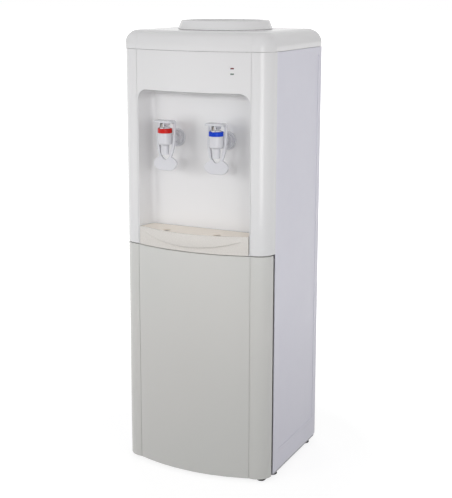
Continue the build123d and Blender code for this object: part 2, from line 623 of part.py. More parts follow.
ROCKER_RADIUS = 11.5
ROCKER_HALF = 6.4
ROCKER_Y = REAR_FACE - 8.5
ROCKER_TILT = 8.0
ROCKER_OFFSET = 8.2
ROCKER_PIN = 1.5
SWITCH_DEPTH = 13.0
BEZEL = 3.0
BEZEL_DEPTH = 2.0
switch_frame = switch_block(0, ROCKER_Y - SWITCH_DEPTH, REAR_FACE)
switch_frame += switch_block(BEZEL, REAR_FACE, REAR_FACE + BEZEL_DEPTH)
rocker_places = {"heat_rocker": SWITCH_X - ROCKER_OFFSET, "cool_rocker": SWITCH_X + ROCKER_OFFSET}
for node, rocker_x in rocker_places.items():
    left = rocker_x - ROCKER_HALF
    right = rocker_x + ROCKER_HALF
    switch_frame -= bar_x(ROCKER_Y, SWITCH_Z, left - 0.4, right + 0.4, ROCKER_RADIUS + 0.5)
    pin_hole = bar_x(ROCKER_Y, SWITCH_Z, left - 1.5, right + 1.5, ROCKER_PIN + RUNNING_GAP)
    switch_frame -= pin_hole
    rocker = bar_x(0, 0, left, right, ROCKER_RADIUS)
    for lean in (-1, 1):
        face_cut = Rot(lean * ROCKER_TILT, 0, 0) * block(left - 1, right + 1, 9.6, 20, -20, 20)
        rocker -= face_cut & block(left - 1, right + 1, 0, 30, *sorted((0, lean * 30)))
    rocker += bar_x(0, 0, left - 1.2, right + 1.2, ROCKER_PIN)
    keep(node, Pos(0, ROCKER_Y, SWITCH_Z) * Rot(-ROCKER_TILT, 0, 0) * rocker)
keep("switch_frame", switch_frame)

# Cabinet door: a bowed hollow shell, an inner liner, hinges at its right and a magnet at its left
door_shell = front_slab(0, SIDE_FRONT, DOOR_BOTTOM, DOOR_TOP)
door_shell = fillet(front_edges(door_shell, 0) + front_edges(door_shell, -1), EDGE_ROUND)
door_shell -= block(-200, 200, DOOR_REAR, 0, 0, SPLIT_Z)
door_shell -= front_slab(WALL, SIDE_FRONT, DOOR_BOTTOM + WALL, DOOR_TOP - WALL)
door_shell -= crease_grooves(0, SPLIT_Z)
BOSS_RADIUS = 7.0
BOSS_DEPTH = 20.0
for z0, z1 in ((DOOR_BOTTOM, DOOR_BOTTOM + BOSS_DEPTH), (DOOR_TOP - BOSS_DEPTH, DOOR_TOP)):
    door_shell += post(HINGE_X, HINGE_Y, z0, z1, BOSS_RADIUS)
    door_shell -= post(HINGE_X, HINGE_Y, z0 - 1, z1 + 1, HINGE_PIN + RUNNING_GAP)
keep("door_shell", door_shell)
LINER_GAP = 0.3
DISH_HALF = 118.0
DISH_MARGIN = 35.0
liner_inset = WALL + LINER_GAP
door_liner = front_slab(liner_inset, SIDE_FRONT, DOOR_BOTTOM + liner_inset, DOOR_TOP - liner_inset)
door_liner &= block(-200, 200, DOOR_REAR - 3.5, DOOR_REAR - 0.5, 0, SPLIT_Z)
dish_low = DOOR_BOTTOM + DISH_MARGIN
dish_high = DOOR_TOP - DISH_MARGIN
door_liner -= block(-DISH_HALF, DISH_HALF, DOOR_REAR - 1.5, DOOR_REAR, dish_low, dish_high)
keep("door_liner", door_liner)

HINGE_PLATE_BOTTOM = BASE_FLOOR - 2.6
HINGE_PLATE_HALF = 8.0
HINGE_PLATE_REAR = FOOT_FRONT_Y - 13.0
plate_left = HINGE_X - HINGE_PLATE_HALF
plate_right = HINGE_X + HINGE_PLATE_HALF
hinge_bracket = block(plate_left, plate_right, HINGE_Y, HINGE_PLATE_REAR, HINGE_PLATE_BOTTOM, BASE_FLOOR)
hinge_bracket += post(HINGE_X, HINGE_Y, HINGE_PLATE_BOTTOM, BASE_FLOOR, HINGE_PLATE_HALF)
hinge_bracket += post(HINGE_X, HINGE_Y, BASE_FLOOR, DOOR_BOTTOM + 16, HINGE_PIN)
keep("hinge_bracket", hinge_bracket)
hinge_pin = post(HINGE_X, HINGE_Y, DOOR_TOP - 16, panel_floor, HINGE_PIN)
hinge_pin += post(HINGE_X, HINGE_Y, panel_floor, panel_floor + 2.5, 5.0)
keep("hinge_pin", hinge_pin)
MAGNET_X = -136.0
MAGNET_HALF_WIDTH = 6.0
MAGNET_LOW = 225.0
MAGNET_HIGH = 265.0
catch_magnet = block(
    MAGNET_X - MAGNET_HALF_WIDTH,
    MAGNET_X + MAGNET_HALF_WIDTH,
    DOOR_REAR + 1.5,
    LINER_FRONT - LINER_WALL,
    MAGNET_LOW,
    MAGNET_HIGH,
)
keep("catch_magnet", catch_magnet)

# Drip tray with its smiling lip, and the deck that lies in it
TRAY_HALF = ALCOVE_HALF - 0.8
TRAY_REAR = ALCOVE_BACK - 2.0
TRAY_REAR_HALF = TRAY_HALF - (TRAY_REAR - ALCOVE_STRAIGHT_Y) * math.tan(math.radians(ALCOVE_DRAFT))
TRAY_BOTTOM = panel_floor + 0.6
TRAY_WALL = 3.5
TRAY_CORNER = 13.5
CORNER_SHRINK = 1.6
DECK_SEAT = 1.8
DECK_THICKNESS = 3.4


def tray_plan(inset):
    half = TRAY_HALF - inset
    rear_half = TRAY_REAR_HALF - inset
    rear = TRAY_REAR - inset
    front = bow_y(half, inset)
    edges = []
    for side in (1, -1):
        edges.append(Line((side * rear_half, rear), (side * half, front)))
    edges.append(ThreePointArc((half, front), (0, BOW_FRONT + inset), (-half, front)))
    edges.append(Line((rear_half, rear), (-rear_half, rear)))
    plan = make_face(edges)
    rear_corners = plan.vertices().sort_by(Axis.Y)[-2:]
    return fillet(rear_corners, TRAY_CORNER - CORNER_SHRINK * inset)


def tray_slab(inset, z0, z1):
    return extrude(Pos(0, 0, z0) * tray_plan(inset), z1 - z0)


LIP_HALF = 104.0
LIP_LOW = 458.6
LIP_END = 474.0
LIP_TOP_BACK = 2.5
LIP_FOOT_BACK = 3.0
LIP_EDGE_ROUND = 2.4
lip_end_y = bow_y(LIP_HALF)
lip_rise = lip_end_y - (BOW_FRONT - LIP_REACH)
lip_radius = (LIP_HALF**2 + lip_rise**2) / (2 * lip_rise)
lip_centre_y = BOW_FRONT - LIP_REACH + lip_radius
lip_core = lip_radius - 40
lip_foot = (lip_radius - LIP_FOOT_BACK, 0, LIP_LOW - 4)
lip_crown = (lip_radius - LIP_TOP_BACK, 0, DECK_TOP)
lip_profile = Spline(
    lip_foot,
    (lip_radius - 0.8, 0, LIP_LOW + 5),
    (lip_radius, 0, LIP_LOW + 14),
    (lip_radius - 0.6, 0, DECK_TOP - 5),
    lip_crown,
) + Polyline(lip_crown, (lip_core, 0, DECK_TOP), (lip_core, 0, LIP_LOW - 4), lip_foot)
LIP_SWEEP = 60.0
lip_ring = revolve(make_face(lip_profile.edges()), Axis.Z, revolution_arc=LIP_SWEEP)
tray_lip = Pos(0, lip_centre_y, 0) * Rot(0, 0, -90 - LIP_SWEEP / 2) * lip_ring
smile = make_face(
    [
        ThreePointArc((-LIP_HALF, 0, LIP_END), (0, 0, LIP_LOW), (LIP_HALF, 0, LIP_END)),
        Line((LIP_HALF, 0, LIP_END), (LIP_HALF, 0, DECK_TOP)),
        Line((LIP_HALF, 0, DECK_TOP), (-LIP_HALF, 0, DECK_TOP)),
        Line((-LIP_HALF, 0, DECK_TOP), (-LIP_HALF, 0, LIP_END)),
    ]
)
tray_lip &= extrude(smile, 160, dir=(0, -1, 0))
low_edges = [edge for edge in tray_lip.edges() if edge.length > LIP_HALF and edge.center().Z < LIP_END]
tray_lip = fillet(min(low_edges, key=lambda edge: edge.center().Y), LIP_EDGE_ROUND)
tray_lip -= front_slab(1.0, 0, LIP_LOW - 9, DECK_TOP + 1)



def deck_slab(inset, z0, z1):
    """The tray's plan with its front carried out over the lip."""
    over_lip = post(0, lip_centre_y, z0, z1, lip_radius - LIP_TOP_BACK - inset)
    over_lip &= block(-LIP_HALF, LIP_HALF, BOW_FRONT - LIP_REACH, CREASE_Y, z0, z1)
    return tray_slab(inset, z0, z1) + over_lip


apron = tray_slab(0, PANEL_BOTTOM, TRAY_BOTTOM)
apron -= front_slab(TRAY_WALL, 0, PANEL_BOTTOM - 1, TRAY_BOTTOM + 1)
drip_tray = tray_slab(0, TRAY_BOTTOM, DECK_TOP) + apron + tray_lip
drip_tray -= tray_slab(TRAY_WALL + 2, TRAY_BOTTOM + 2.5, DECK_TOP + 1)
drip_tray -= deck_slab(DECK_SEAT, DECK_TOP - DECK_THICKNESS - 0.4, DECK_TOP + 1)
keep("drip_tray", drip_tray)

DRAIN_HOLE = 8.0
DRAIN_Y = -126.5
DISH_DEPTH = 0.8
DISH_RADIUS = 22.0
deck_top = DECK_TOP - 0.2
tray_deck = deck_slab(DECK_SEAT + 0.4, deck_top - DECK_THICKNESS, deck_top)
for side in (-1, 1):
    dish_profile = [
        (0, deck_top - DISH_DEPTH),
        (DRAIN_HOLE, deck_top - DISH_DEPTH),
        (DISH_RADIUS, deck_top + 0.01),
        (0, deck_top + 0.01),
    ]
    dish = turned(dish_profile, side * TAP_X, DRAIN_Y)
    tray_deck -= dish & deck_slab(DECK_SEAT + 3, deck_top - DECK_THICKNESS, deck_top + 1)
    tray_deck -= post(side * TAP_X, DRAIN_Y, deck_top - 9, deck_top + 1, DRAIN_HOLE)
keep("tray_deck", tray_deck)

# Taps: a push-back lever turns on a steel post at the front of the cap and lifts the stem behind it
BODY_LOW = 647.0
BODY_HIGH = 669.5
SPOUT_LOW = 628.6
CAP_TOP = 678.0
CHAMBER = 10.4
VALVE_SEAT = 652.0
NECK = 11.8
PIVOT_REACH = 10.5
PIVOT_Z = 684.5
STEM_RADIUS = 2.44
STEM_EYE = 3.1
PIVOT_RADIUS = 1.2
CRANK_RADIUS = 1.4
CHEEK_INNER = 2.95
CHEEK_OUTER = 5.4
CHEEK_END = 3.4
CHEEK_DROP = 2.8
HOOD_LOW = 689.2
HOOD_TOP = 693.0
HOOD_HALF = 18.6
HOOD_REACH = 13.0
HOOD_BACK = 9.6
ARM_OUTER = 19.3
ARM_INNER = 14.6
PADDLE_LOW = 598.0
LEVER_LEAN = 4.0
FRAME_HALF = 2.8
ARM_ROUND = 5.0
WEB_HALF = 5.4
WEB_LOW = 682.6
ARCH_TOP = 687.4
pivot_y = TAP_Y - PIVOT_REACH


def tap_body(x):
    body = post(x, TAP_Y, BODY_LOW, BODY_HIGH, TAP_RADIUS)
    body = fillet(body.edges().sort_by(Axis.Z)[:1], 4.0)
    body += post(x, TAP_Y, BODY_HIGH, BODY_HIGH + 2.5, NECK)
    body += post(x, TAP_Y, SPOUT_LOW, BODY_LOW + 1, 7.5)
    body += bar_y(x, TAP_INLET_Z, TAP_Y, ALCOVE_BACK - 2, 8.5)
    flange = bar_y(x, TAP_INLET_Z, ALCOVE_BACK - 3.2, ALCOVE_BACK - 0.1, 17.5)
    boss = bar_y(x, TAP_INLET_Z, ALCOVE_BACK - 9, ALCOVE_BACK - 3.2, TAP_RADIUS)
    body += fillet(flange.edges().sort_by(Axis.Y)[:1], 1.2)
    body += fillet(boss.edges().sort_by(Axis.Y)[:1], 1.5)
    body += bar_y(x, TAP_INLET_Z, ALCOVE_BACK - 0.1, ALCOVE_BACK + 18, 8.0)
    body += bar_y(x, TAP_INLET_Z, ALCOVE_BACK + 18, ALCOVE_BACK + 30, STUB_RADIUS)
    body -= post(x, TAP_Y, VALVE_SEAT, BODY_HIGH + 3, CHAMBER)
    body -= post(x, TAP_Y, BODY_LOW - 4, VALVE_SEAT + 1, 5.0)
    body -= post(x, TAP_Y, SPOUT_LOW - 1, BODY_LOW, 5.8)
    body -= bar_y(x, TAP_INLET_Z + 2, TAP_Y + 6, ALCOVE_BACK + 14, 4.0)
    body -= bar_y(x, TAP_INLET_Z, ALCOVE_BACK + 10, ALCOVE_BACK + 31, STUB_BORE)
    return body


def tap_ring(x):
    ring = post(x, TAP_Y, BODY_HIGH + 0.2, CAP_TOP, TAP_RADIUS + 0.1)
    ring = fillet(ring.edges().sort_by(Axis.Z)[-1:], 1.0)
    ring -= post(x, TAP_Y, BODY_HIGH - 1, BODY_HIGH + 4, NECK + 0.2)
    ring -= post(x, TAP_Y, BODY_HIGH, CAP_TOP + 1, 9.4)
    return ring


def tap_bonnet(x):
    flange_low = BODY_HIGH + 2.5
    plate_low = CAP_TOP + 0.3
    plate_top = plate_low + 2.0
    bonnet = post(x, TAP_Y, BODY_HIGH - 1.5, flange_low, CHAMBER - 0.1)
    bonnet += post(x, TAP_Y, flange_low, flange_low + 1.4, NECK)
    bonnet += post(x, TAP_Y, flange_low, plate_top, 9.2)
    bonnet += post(x, pivot_y, plate_low, plate_top, 3.8)
    bonnet += block(x - 3.8, x + 3.8, pivot_y, TAP_Y, plate_low, plate_top)
    bonnet -= post(x, pivot_y, plate_low + 0.5, plate_top + 1, 2.5)
    bonnet -= post(x, TAP_Y, BODY_HIGH - 2, BODY_HIGH + 0.5, 7.0)
    bonnet -= post(x, TAP_Y, BODY_HIGH - 2, plate_top + 1, STEM_RADIUS + RUNNING_GAP)
    return bonnet


def fulcrum_post(x):
    steel = post(x, pivot_y, CAP_TOP + 0.8, PIVOT_Z + 3.2, 2.5)
    steel = fillet(steel.edges().sort_by(Axis.Z)[-1:], 0.8)
    return steel - bar_x(pivot_y, PIVOT_Z, x - 4, x + 4, PIVOT_RADIUS)


def pivot_pin(x):
    return bar_x(pivot_y, PIVOT_Z, x - 6.2, x + 6.2, PIVOT_RADIUS)


def lever_frame():
    """The flat frame of a lever in its own XZ plane: two arms round a loop, then the paddle."""
    shoulder = 655.0
    neck_half = 12.6
    neck_z = 624.0
    waist_half = 17.4
    waist_z = 639.0
    paddle_z = 611.0
    frame_top = HOOD_TOP - 0.4
    round_start = frame_top - ARM_ROUND
    round_half = ARM_OUTER - ARM_ROUND
    lean = ARM_ROUND * math.sqrt(0.5)
    outer = []
    for side in (1, -1):
        arm = side * ARM_OUTER
        neck = side * neck_half
        crown = (side * round_half, 0, frame_top)
        corner = (side * (round_half + lean), 0, round_start + lean)
        waist = (side * waist_half, 0, waist_z)
        outer.append(ThreePointArc(crown, corner, (arm, 0, round_start)))
        outer.append(Line((arm, 0, round_start), (arm, 0, shoulder)))
        outer.append(ThreePointArc((arm, 0, shoulder), waist, (neck, 0, neck_z)))
        outer.append(Line((neck, 0, neck_z), (neck, 0, paddle_z)))
    outer.append(Line((neck_half, 0, paddle_z), (-neck_half, 0, paddle_z)))
    outer.append(Line((round_half, 0, frame_top), (-round_half, 0, frame_top)))
    arch_middle = (ARM_INNER + WEB_HALF) / 2
    loop = [
        Line((ARM_INNER, 0, WEB_LOW), (ARM_INNER, 0, shoulder)),
        Line((-ARM_INNER, 0, WEB_LOW), (-ARM_INNER, 0, shoulder)),
        ThreePointArc((-ARM_INNER, 0, WEB_LOW), (-arch_middle, 0, ARCH_TOP), (-WEB_HALF, 0, WEB_LOW)),
        ThreePointArc((ARM_INNER, 0, WEB_LOW), (arch_middle, 0, ARCH_TOP), (WEB_HALF, 0, WEB_LOW)),
        Line((-WEB_HALF, 0, WEB_LOW), (WEB_HALF, 0, WEB_LOW)),
        Spline((ARM_INNER, 0, shoulder), (11.6, 0, 640), (9.4, 0, 628), (0, 0, 619), (-9.4, 0, 628),
               (-11.6, 0, 640), (-ARM_INNER, 0, shoulder), tangents=[(0, 0, -1), (0, 0, 1)]),
    ]
    frame = extrude(make_face(outer), FRAME_HALF, dir=(0, 1, 0), both=True)
    paddle = Pos(0, 0, paddle_z) * Rot(90, 0, 0) * extrude(Ellipse(24.2, 14.5), FRAME_HALF, both=True)
    paddle -= block(-40, 40, -9, 9, PADDLE_LOW - 9, PADDLE_LOW)
    frame += paddle
    frame -= extrude(make_face(loop), 9, dir=(0, 1, 0), both=True)
    rims = [edge for edge in frame.edges() if abs(abs(edge.center().Y) - FRAME_HALF) < 0.01]
    return fillet(rims, 1.2)


def tap_lever(x):
    frame = Pos(x, TAP_Y + 7.0, HOOD_LOW) * Rot(-LEVER_LEAN, 0, 0) * Pos(0, 0, -HOOD_LOW) * lever_frame()
    hood = block(x - HOOD_HALF, x + HOOD_HALF, TAP_Y - HOOD_REACH, TAP_Y + HOOD_BACK, HOOD_LOW, HOOD_TOP)
    hood = fillet(hood.edges().filter_by(Axis.Z), 5.0)
    hood = fillet(hood.faces().sort_by(Axis.Z)[-1].edges(), 1.6)
    lever = frame + hood
    for x0, x1 in ((x - CHEEK_OUTER, x - CHEEK_INNER), (x + CHEEK_INNER, x + CHEEK_OUTER)):
        lever += block(x0, x1, pivot_y - CHEEK_END, TAP_Y + CHEEK_END, PIVOT_Z - CHEEK_DROP, HOOD_LOW + 0.5)
    lever += bar_x(TAP_Y, PIVOT_Z, x - CHEEK_OUTER, x + CHEEK_OUTER, CRANK_RADIUS)
    return lever - bar_x(pivot_y, PIVOT_Z, x - 9, x + 9, PIVOT_RADIUS + RUNNING_GAP)


def tap_stem(x):
    stem = post(x, TAP_Y, VALVE_SEAT + 1.5, PIVOT_Z - 2, STEM_RADIUS)
    stem += post(x, TAP_Y, VALVE_SEAT + 4, VALVE_SEAT + 5.2, 6.6)
    stem += bar_x(TAP_Y, PIVOT_Z, x - 2.4, x + 2.4, STEM_EYE)
    slot_half = CRANK_RADIUS + 0.35
    slot = block(x - 5, x + 5, TAP_Y - 2.3, TAP_Y + 2.3, PIVOT_Z - slot_half, PIVOT_Z + slot_half)
    return stem - slot


def tap_seal(x):
    seal = post(x, TAP_Y, VALVE_SEAT + 0.05, VALVE_SEAT + 4, 8.0)
    return seal - post(x, TAP_Y, VALVE_SEAT + 1.5, VALVE_SEAT + 5, STEM_RADIUS)


SPRING_LOW = VALVE_SEAT + 5.8
SPRING_HEIGHT = 10.4
SPRING_TURNS = 5
SPRING_RADIUS = 5.5
SPRING_WIRE = 0.5


def tap_spring(x):
    path = Helix(SPRING_HEIGHT / SPRING_TURNS, SPRING_HEIGHT, SPRING_RADIUS)
    section = Plane(origin=path @ 0, z_dir=path % 0) * Circle(SPRING_WIRE)
    return Pos(x, TAP_Y, SPRING_LOW) * sweep(section, path, is_frenet=True)


def wall_nut(x):
    nut = extrude(RegularPolygon(13.0, 6), 6.0) - Cylinder(8.0, 40)
    return Pos(x, ALCOVE_BACK + ALCOVE_WALL + 6.0, TAP_INLET_Z) * Rot(90, 0, 0) * nut


for name, tap_x in (("hot", -TAP_X), ("cold", TAP_X)):
    keep(f"{name}_tap_body", tap_body(tap_x))
    keep(f"{name}_cap_ring", tap_ring(tap_x))
    keep(f"{name}_bonnet", tap_bonnet(tap_x))
    keep(f"{name}_lever", tap_lever(tap_x))
    keep(f"{name}_stem", tap_stem(tap_x))
    keep(f"{name}_seal", tap_seal(tap_x))
    keep(f"{name}_spring", tap_spring(tap_x))
taps = (-TAP_X, TAP_X)
keep("fulcrum_posts", Compound(children=[fulcrum_post(x) for x in taps]))
keep("pivot_pins", Compound(children=[pivot_pin(x) for x in taps]))
keep("wall_nuts", Compound(children=[wall_nut(x) for x in taps]))

print(len(written), "nodes written")
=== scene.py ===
# %% [markdown]
# # A floor-standing water dispenser, dressed and lit
# The solids of this machine are already built to size and stand in one shared frame.
# This lesson gives them what a camera sees: the finish of each surface, the turned and
# repeated pieces with softer edges than a solid has, a plain studio and the camera.
# Lengths are in metres, and the outlines for the lathe are in millimetres. X points
# right, Y to the back and Z up, with the floor at zero.

# %% Load the frame
import json
import math

import bmesh
import bpy
from mathutils import Matrix, Vector


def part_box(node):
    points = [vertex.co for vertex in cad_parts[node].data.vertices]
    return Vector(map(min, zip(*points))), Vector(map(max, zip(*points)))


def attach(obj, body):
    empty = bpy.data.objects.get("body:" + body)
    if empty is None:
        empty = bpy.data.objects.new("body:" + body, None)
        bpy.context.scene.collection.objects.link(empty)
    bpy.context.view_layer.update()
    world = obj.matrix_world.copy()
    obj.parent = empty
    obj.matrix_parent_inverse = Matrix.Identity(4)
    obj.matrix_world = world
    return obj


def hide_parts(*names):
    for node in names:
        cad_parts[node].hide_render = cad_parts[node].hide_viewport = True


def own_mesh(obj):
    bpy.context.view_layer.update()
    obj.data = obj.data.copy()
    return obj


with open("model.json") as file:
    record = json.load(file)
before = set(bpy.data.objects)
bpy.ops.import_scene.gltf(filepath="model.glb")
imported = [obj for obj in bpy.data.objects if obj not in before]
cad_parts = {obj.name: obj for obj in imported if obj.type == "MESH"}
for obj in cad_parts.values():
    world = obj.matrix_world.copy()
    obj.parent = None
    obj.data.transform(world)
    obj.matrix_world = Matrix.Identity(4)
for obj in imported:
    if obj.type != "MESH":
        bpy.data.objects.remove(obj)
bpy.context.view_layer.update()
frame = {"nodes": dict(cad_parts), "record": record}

nodes = frame["nodes"]
record = frame["record"]
slot_of = {part["node"]: part["material_slot"] for part in record["subparts"]}
body_of = {node: body for body, group in record["behaviour"]["bodies"].items() for node in group}

# %% [markdown]
# ## How a finish is put together
# A painted or moulded surface is never one flat number: its colour drifts a little, its
# gloss is uneven and its skin has a fine grain. Pictures wrapped round the pieces could
# show that, but they need unwrapping and blur from close by. A pattern from a formula
# needs neither, so every finish here is a Principled shader fed by one, mostly noise. The
# last three helpers add one of those traits each, and a finish then reads like a recipe.
# Patterns read Object coordinates: every piece sits at the origin, so they stick to it.

# %% Helpers for finishes
NOISE_LOW = 0.32
NOISE_HIGH = 0.68
MICRONS_PER_METRE = 1000000
finishes = {}


def shader_colour(colour):
    """A screen colour from 0 to 255 as a shader takes it, by the standard screen curve."""
    shares = [c / 255 for c in colour]
    curve = [((s + 0.055) / 1.055) ** 2.4 if s > 0.04 else s / 12.92 for s in shares]
    return (*curve, 1.0)


def add(tree, kind, sources=None, **settings):
    """One more node, with its settings and with sockets linked or set by name or number."""
    node = tree.nodes.new(kind)
    for setting, value in settings.items():
        setattr(node, setting, value)
    for socket, source in (sources or {}).items():
        if isinstance(source, bpy.types.NodeSocket):
            tree.links.new(source, node.inputs[socket])
        else:
            node.inputs[socket].default_value = source
    return node


def start_finish(slot, **sockets):
    """A new finish for a slot: its tree and its shader, with constant sockets already set."""
    finish = bpy.data.materials.new(slot + "_finish")
    finish.use_nodes = True
    finishes[slot] = finish
    tree = finish.node_tree
    shader = tree.nodes["Principled BSDF"]
    for socket, value in sockets.items():
        shader.inputs[socket.replace("_", " ")].default_value = value
    return tree, shader


def noise(tree, per_metre, detail=2.0, stretch=(1.0, 1.0, 1.0)):
    """Noise with about so many features per metre, drawn out along the small stretches."""
    place = add(tree, "ShaderNodeTexCoord")
    mapping = add(tree, "ShaderNodeMapping", {"Vector": place.outputs["Object"], "Scale": stretch})
    cloud = add(
        tree,
        "ShaderNodeTexNoise",
        {"Vector": mapping.outputs["Vector"], "Scale": per_metre, "Detail": detail},
    )
    return cloud.outputs["Fac"]


def colour_between(tree, shader, source, first, second):
    """The base colour drifts from first to second, both screen colours."""
    ramp = add(tree, "ShaderNodeValToRGB", {"Fac": source})
    start, end = ramp.color_ramp.elements
    start.position = NOISE_LOW
    end.position = NOISE_HIGH
    start.color = shader_colour(first)
    end.color = shader_colour(second)
    tree.links.new(ramp.outputs["Color"], shader.inputs["Base Color"])


def roughness_between(tree, shader, source, low, high):
    """The gloss is uneven between two roughness values."""
    span = add(
        tree,
        "ShaderNodeMapRange",
        {
            "Value": source,
            "From Min": NOISE_LOW,
            "From Max": NOISE_HIGH,
            "To Min": low,
            "To Max": high,
        },
    )
    tree.links.new(span.outputs["Result"], shader.inputs["Roughness"])


def bump_from(tree, shader, source, microns):
    """The skin rises and falls by about so many thousandths of a millimetre."""
    depth = microns / MICRONS_PER_METRE
    bump = add(tree, "ShaderNodeBump", {"Height": source, "Strength": 1.0, "Distance": depth})
    tree.links.new(bump.outputs["Normal"], shader.inputs["Normal"])


print("helpers for finishes ready")

# %% [markdown]
# ## Moulded plastic
# Most of the machine is injection-moulded: the front, the cover, the door, the tray and
# the taps. A mould leaves a fine grain, and the colour drifts slowly over a hand's width.
# One flat colour would pass from afar, but its highlights would look like glass. So a
# wide, weak noise carries the colour and a fine one carries gloss and grain. One recipe
# makes all of these, from a colour pair, a gloss pair and the grain's depth in microns.

# %% The plastics
RESIN_IOR = 1.5


def moulded(slot, pale, deep, gloss, depth, drift=5.0, grain=900.0, shine=0.5):
    """Plastic with so much drift and grain per metre, and the grain's depth in microns."""
    tree, shader = start_finish(slot, IOR=RESIN_IOR, Specular_IOR_Level=shine)
    skin = noise(tree, grain)
    colour_between(tree, shader, noise(tree, drift, detail=0.0), pale, deep)
    roughness_between(tree, shader, skin, *gloss)
    bump_from(tree, shader, skin, depth)


moulded("panel_white", (229, 228, 229), (227, 227, 228), (0.11, 0.16), 4)
# The door's white is a little greyer than the panel's, and its darker tone is also painted shade for
# the dimmer light low on the front.
moulded("door_white", (213, 212, 209), (211, 211, 208), (0.20, 0.26), 6)
moulded("liner_white", (222, 222, 219), (214, 214, 211), (0.42, 0.52), 20)
moulded("tap_white", (213, 213, 218), (210, 210, 215), (0.16, 0.24), 6)
moulded("tray_white", (222, 218, 213), (219, 215, 210), (0.24, 0.30), 8)
moulded("deck_cream", (248, 239, 227), (245, 235, 222), (0.30, 0.38), 10)
moulded("ring_red", (208, 32, 24), (194, 24, 18), (0.24, 0.34), 8, drift=60.0, shine=0.2)
moulded("ring_blue", (3, 68, 204), (2, 58, 192), (0.24, 0.34), 8, drift=60.0, shine=0.2)
moulded("rocker_red", (190, 26, 20), (168, 16, 14), (0.22, 0.32), 8, drift=60.0)
moulded("rocker_green", (34, 148, 78), (24, 126, 64), (0.22, 0.32), 8, drift=60.0)
moulded("base_grey", (182, 182, 188), (174, 174, 180), (0.45, 0.56), 30, drift=12.0, grain=500.0)
moulded("fitting_black", (38, 38, 40), (28, 28, 30), (0.42, 0.56), 30, drift=40.0, grain=700.0)
moulded("probe_white", (226, 226, 228), (219, 219, 222), (0.34, 0.44), 10, drift=30.0)
print("moulded plastics:", ", ".join(finishes))

# %% [markdown]
# ## Coated steel
# The side and rear panels are sheet steel with a baked powder coat. Powder melts into a
# skin like the peel of an orange, a few millimetres from bump to bump and less than a
# hair in depth. That is too fine to model, so a bump from noise stands for it. A broad
# noise carries the colour, and one between the two carries the gloss. The hinge bracket
# and the catch get the same skin in dark colours.

# %% The coated steels
STEEL_DRIFT = 4.0
STEEL_GLOSS = 45.0
ORANGE_PEEL = 260.0


def coated(slot, pale, deep, gloss, peel):
    """Powder coat, with the depth of its peel in microns."""
    tree, shader = start_finish(slot, IOR=RESIN_IOR)
    colour_between(tree, shader, noise(tree, STEEL_DRIFT, detail=3.0), pale, deep)
    roughness_between(tree, shader, noise(tree, STEEL_GLOSS), *gloss)
    bump_from(tree, shader, noise(tree, ORANGE_PEEL, detail=3.0), peel)


coated("side_steel", (222, 221, 232), (217, 216, 228), (0.34, 0.42), 40)
coated("rear_steel", (200, 200, 203), (190, 190, 194), (0.40, 0.50), 40)
coated("hinge_black", (52, 52, 54), (38, 38, 40), (0.42, 0.56), 30)
coated("magnet_dark", (72, 72, 75), (58, 58, 61), (0.48, 0.60), 40)
print("coated steels done")

# %% [markdown]
# ## Bare metal
# Turned pins, drawn tanks and extruded fins stay bare, and their polish runs one way.
# An anisotropic shader could stretch the highlights, but it needs a direction on every
# face. Noise drawn out along the polish is simpler and shows the lines themselves: a
# little on the short pins, and a long way on the tanks and the fins.

# %% The bare metals
POLISH_LINES = 700.0


def bare_metal(slot, pale, deep, gloss, stretch, scratch):
    """Metal with lines along its polish, with their depth in microns."""
    tree, shader = start_finish(slot, Metallic=1.0)
    lines = noise(tree, POLISH_LINES, detail=3.0, stretch=stretch)
    colour_between(tree, shader, lines, pale, deep)
    roughness_between(tree, shader, lines, *gloss)
    bump_from(tree, shader, lines, scratch)


# Besides its own grey, the pins' steel is made darker than bare steel: painted shade for the deep gap
# between each lever's ears, where the pivot pin sits.
bare_metal("pin_steel", (158, 153, 148), (130, 125, 120), (0.32, 0.44), (1.0, 1.0, 3.0), 8)
bare_metal("tank_steel", (205, 205, 205), (186, 186, 187), (0.26, 0.38), (0.05, 0.05, 2.0), 10)
bare_metal("sink_aluminium", (214, 214, 216), (194, 194, 198), (0.34, 0.46), (2.0, 2.0, 0.05), 10)
print("bare metals done")

# %% [markdown]
# ## Rubber, silicone, foam and ceramic
# The feet are rubber and the tubes milky silicone, both with a soft, dull skin, and the
# cooling module's plates are unglazed ceramic. A speckle from one noise is enough for
# all three. The foam round the tanks is moulded from beads. Noise has no cells, so a
# Voronoi pattern gives the beads instead.

# %% The soft and fired finishes
BEAD_DEPTH = 600


def dull(slot, pale, deep, gloss, per_metre, pits, **sockets):
    """A dull, speckled skin, with the depth of its pits in microns."""
    tree, shader = start_finish(slot, **sockets)
    speckle = noise(tree, per_metre, detail=4.0)
    colour_between(tree, shader, speckle, pale, deep)
    roughness_between(tree, shader, speckle, *gloss)
    bump_from(tree, shader, speckle, pits)


def bead_foam(slot, pale, deep, beads_per_metre):
    """Foam of pressed beads, which sink in where they meet."""
    tree, shader = start_finish(slot, Roughness=0.85)
    place = add(tree, "ShaderNodeTexCoord")
    beads = add(
        tree,
        "ShaderNodeTexVoronoi",
        {"Vector": place.outputs["Object"], "Scale": beads_per_metre},
    )
    colour_between(tree, shader, beads.outputs["Distance"], pale, deep)
    bump_from(tree, shader, beads.outputs["Distance"], -BEAD_DEPTH)


dull("foot_rubber", (44, 44, 45), (32, 32, 33), (0.70, 0.85), 400.0, 50)
dull("silicone", (222, 220, 212), (212, 209, 200), (0.40, 0.52), 120.0, 10, Subsurface_Weight=0.2)
dull("module_white", (232, 230, 224), (222, 219, 212), (0.60, 0.72), 600.0, 10)
bead_foam("foam_white", (236, 236, 232), (220, 220, 215), 280.0)
print("soft and fired finishes done")

# %% [markdown]
# ## Circuit boards and lamp lenses
# A circuit board is lacquer over copper: paler tracks on a darker ground. Tracks could be
# modelled one by one, but the boards are hidden inside, so a brick pattern with long
# bricks and thin joints stands for them. The two lamp lenses are tinted plastic. Real
# refraction would be noisy on so small a piece, so a clear coat gives the depth of a lens.

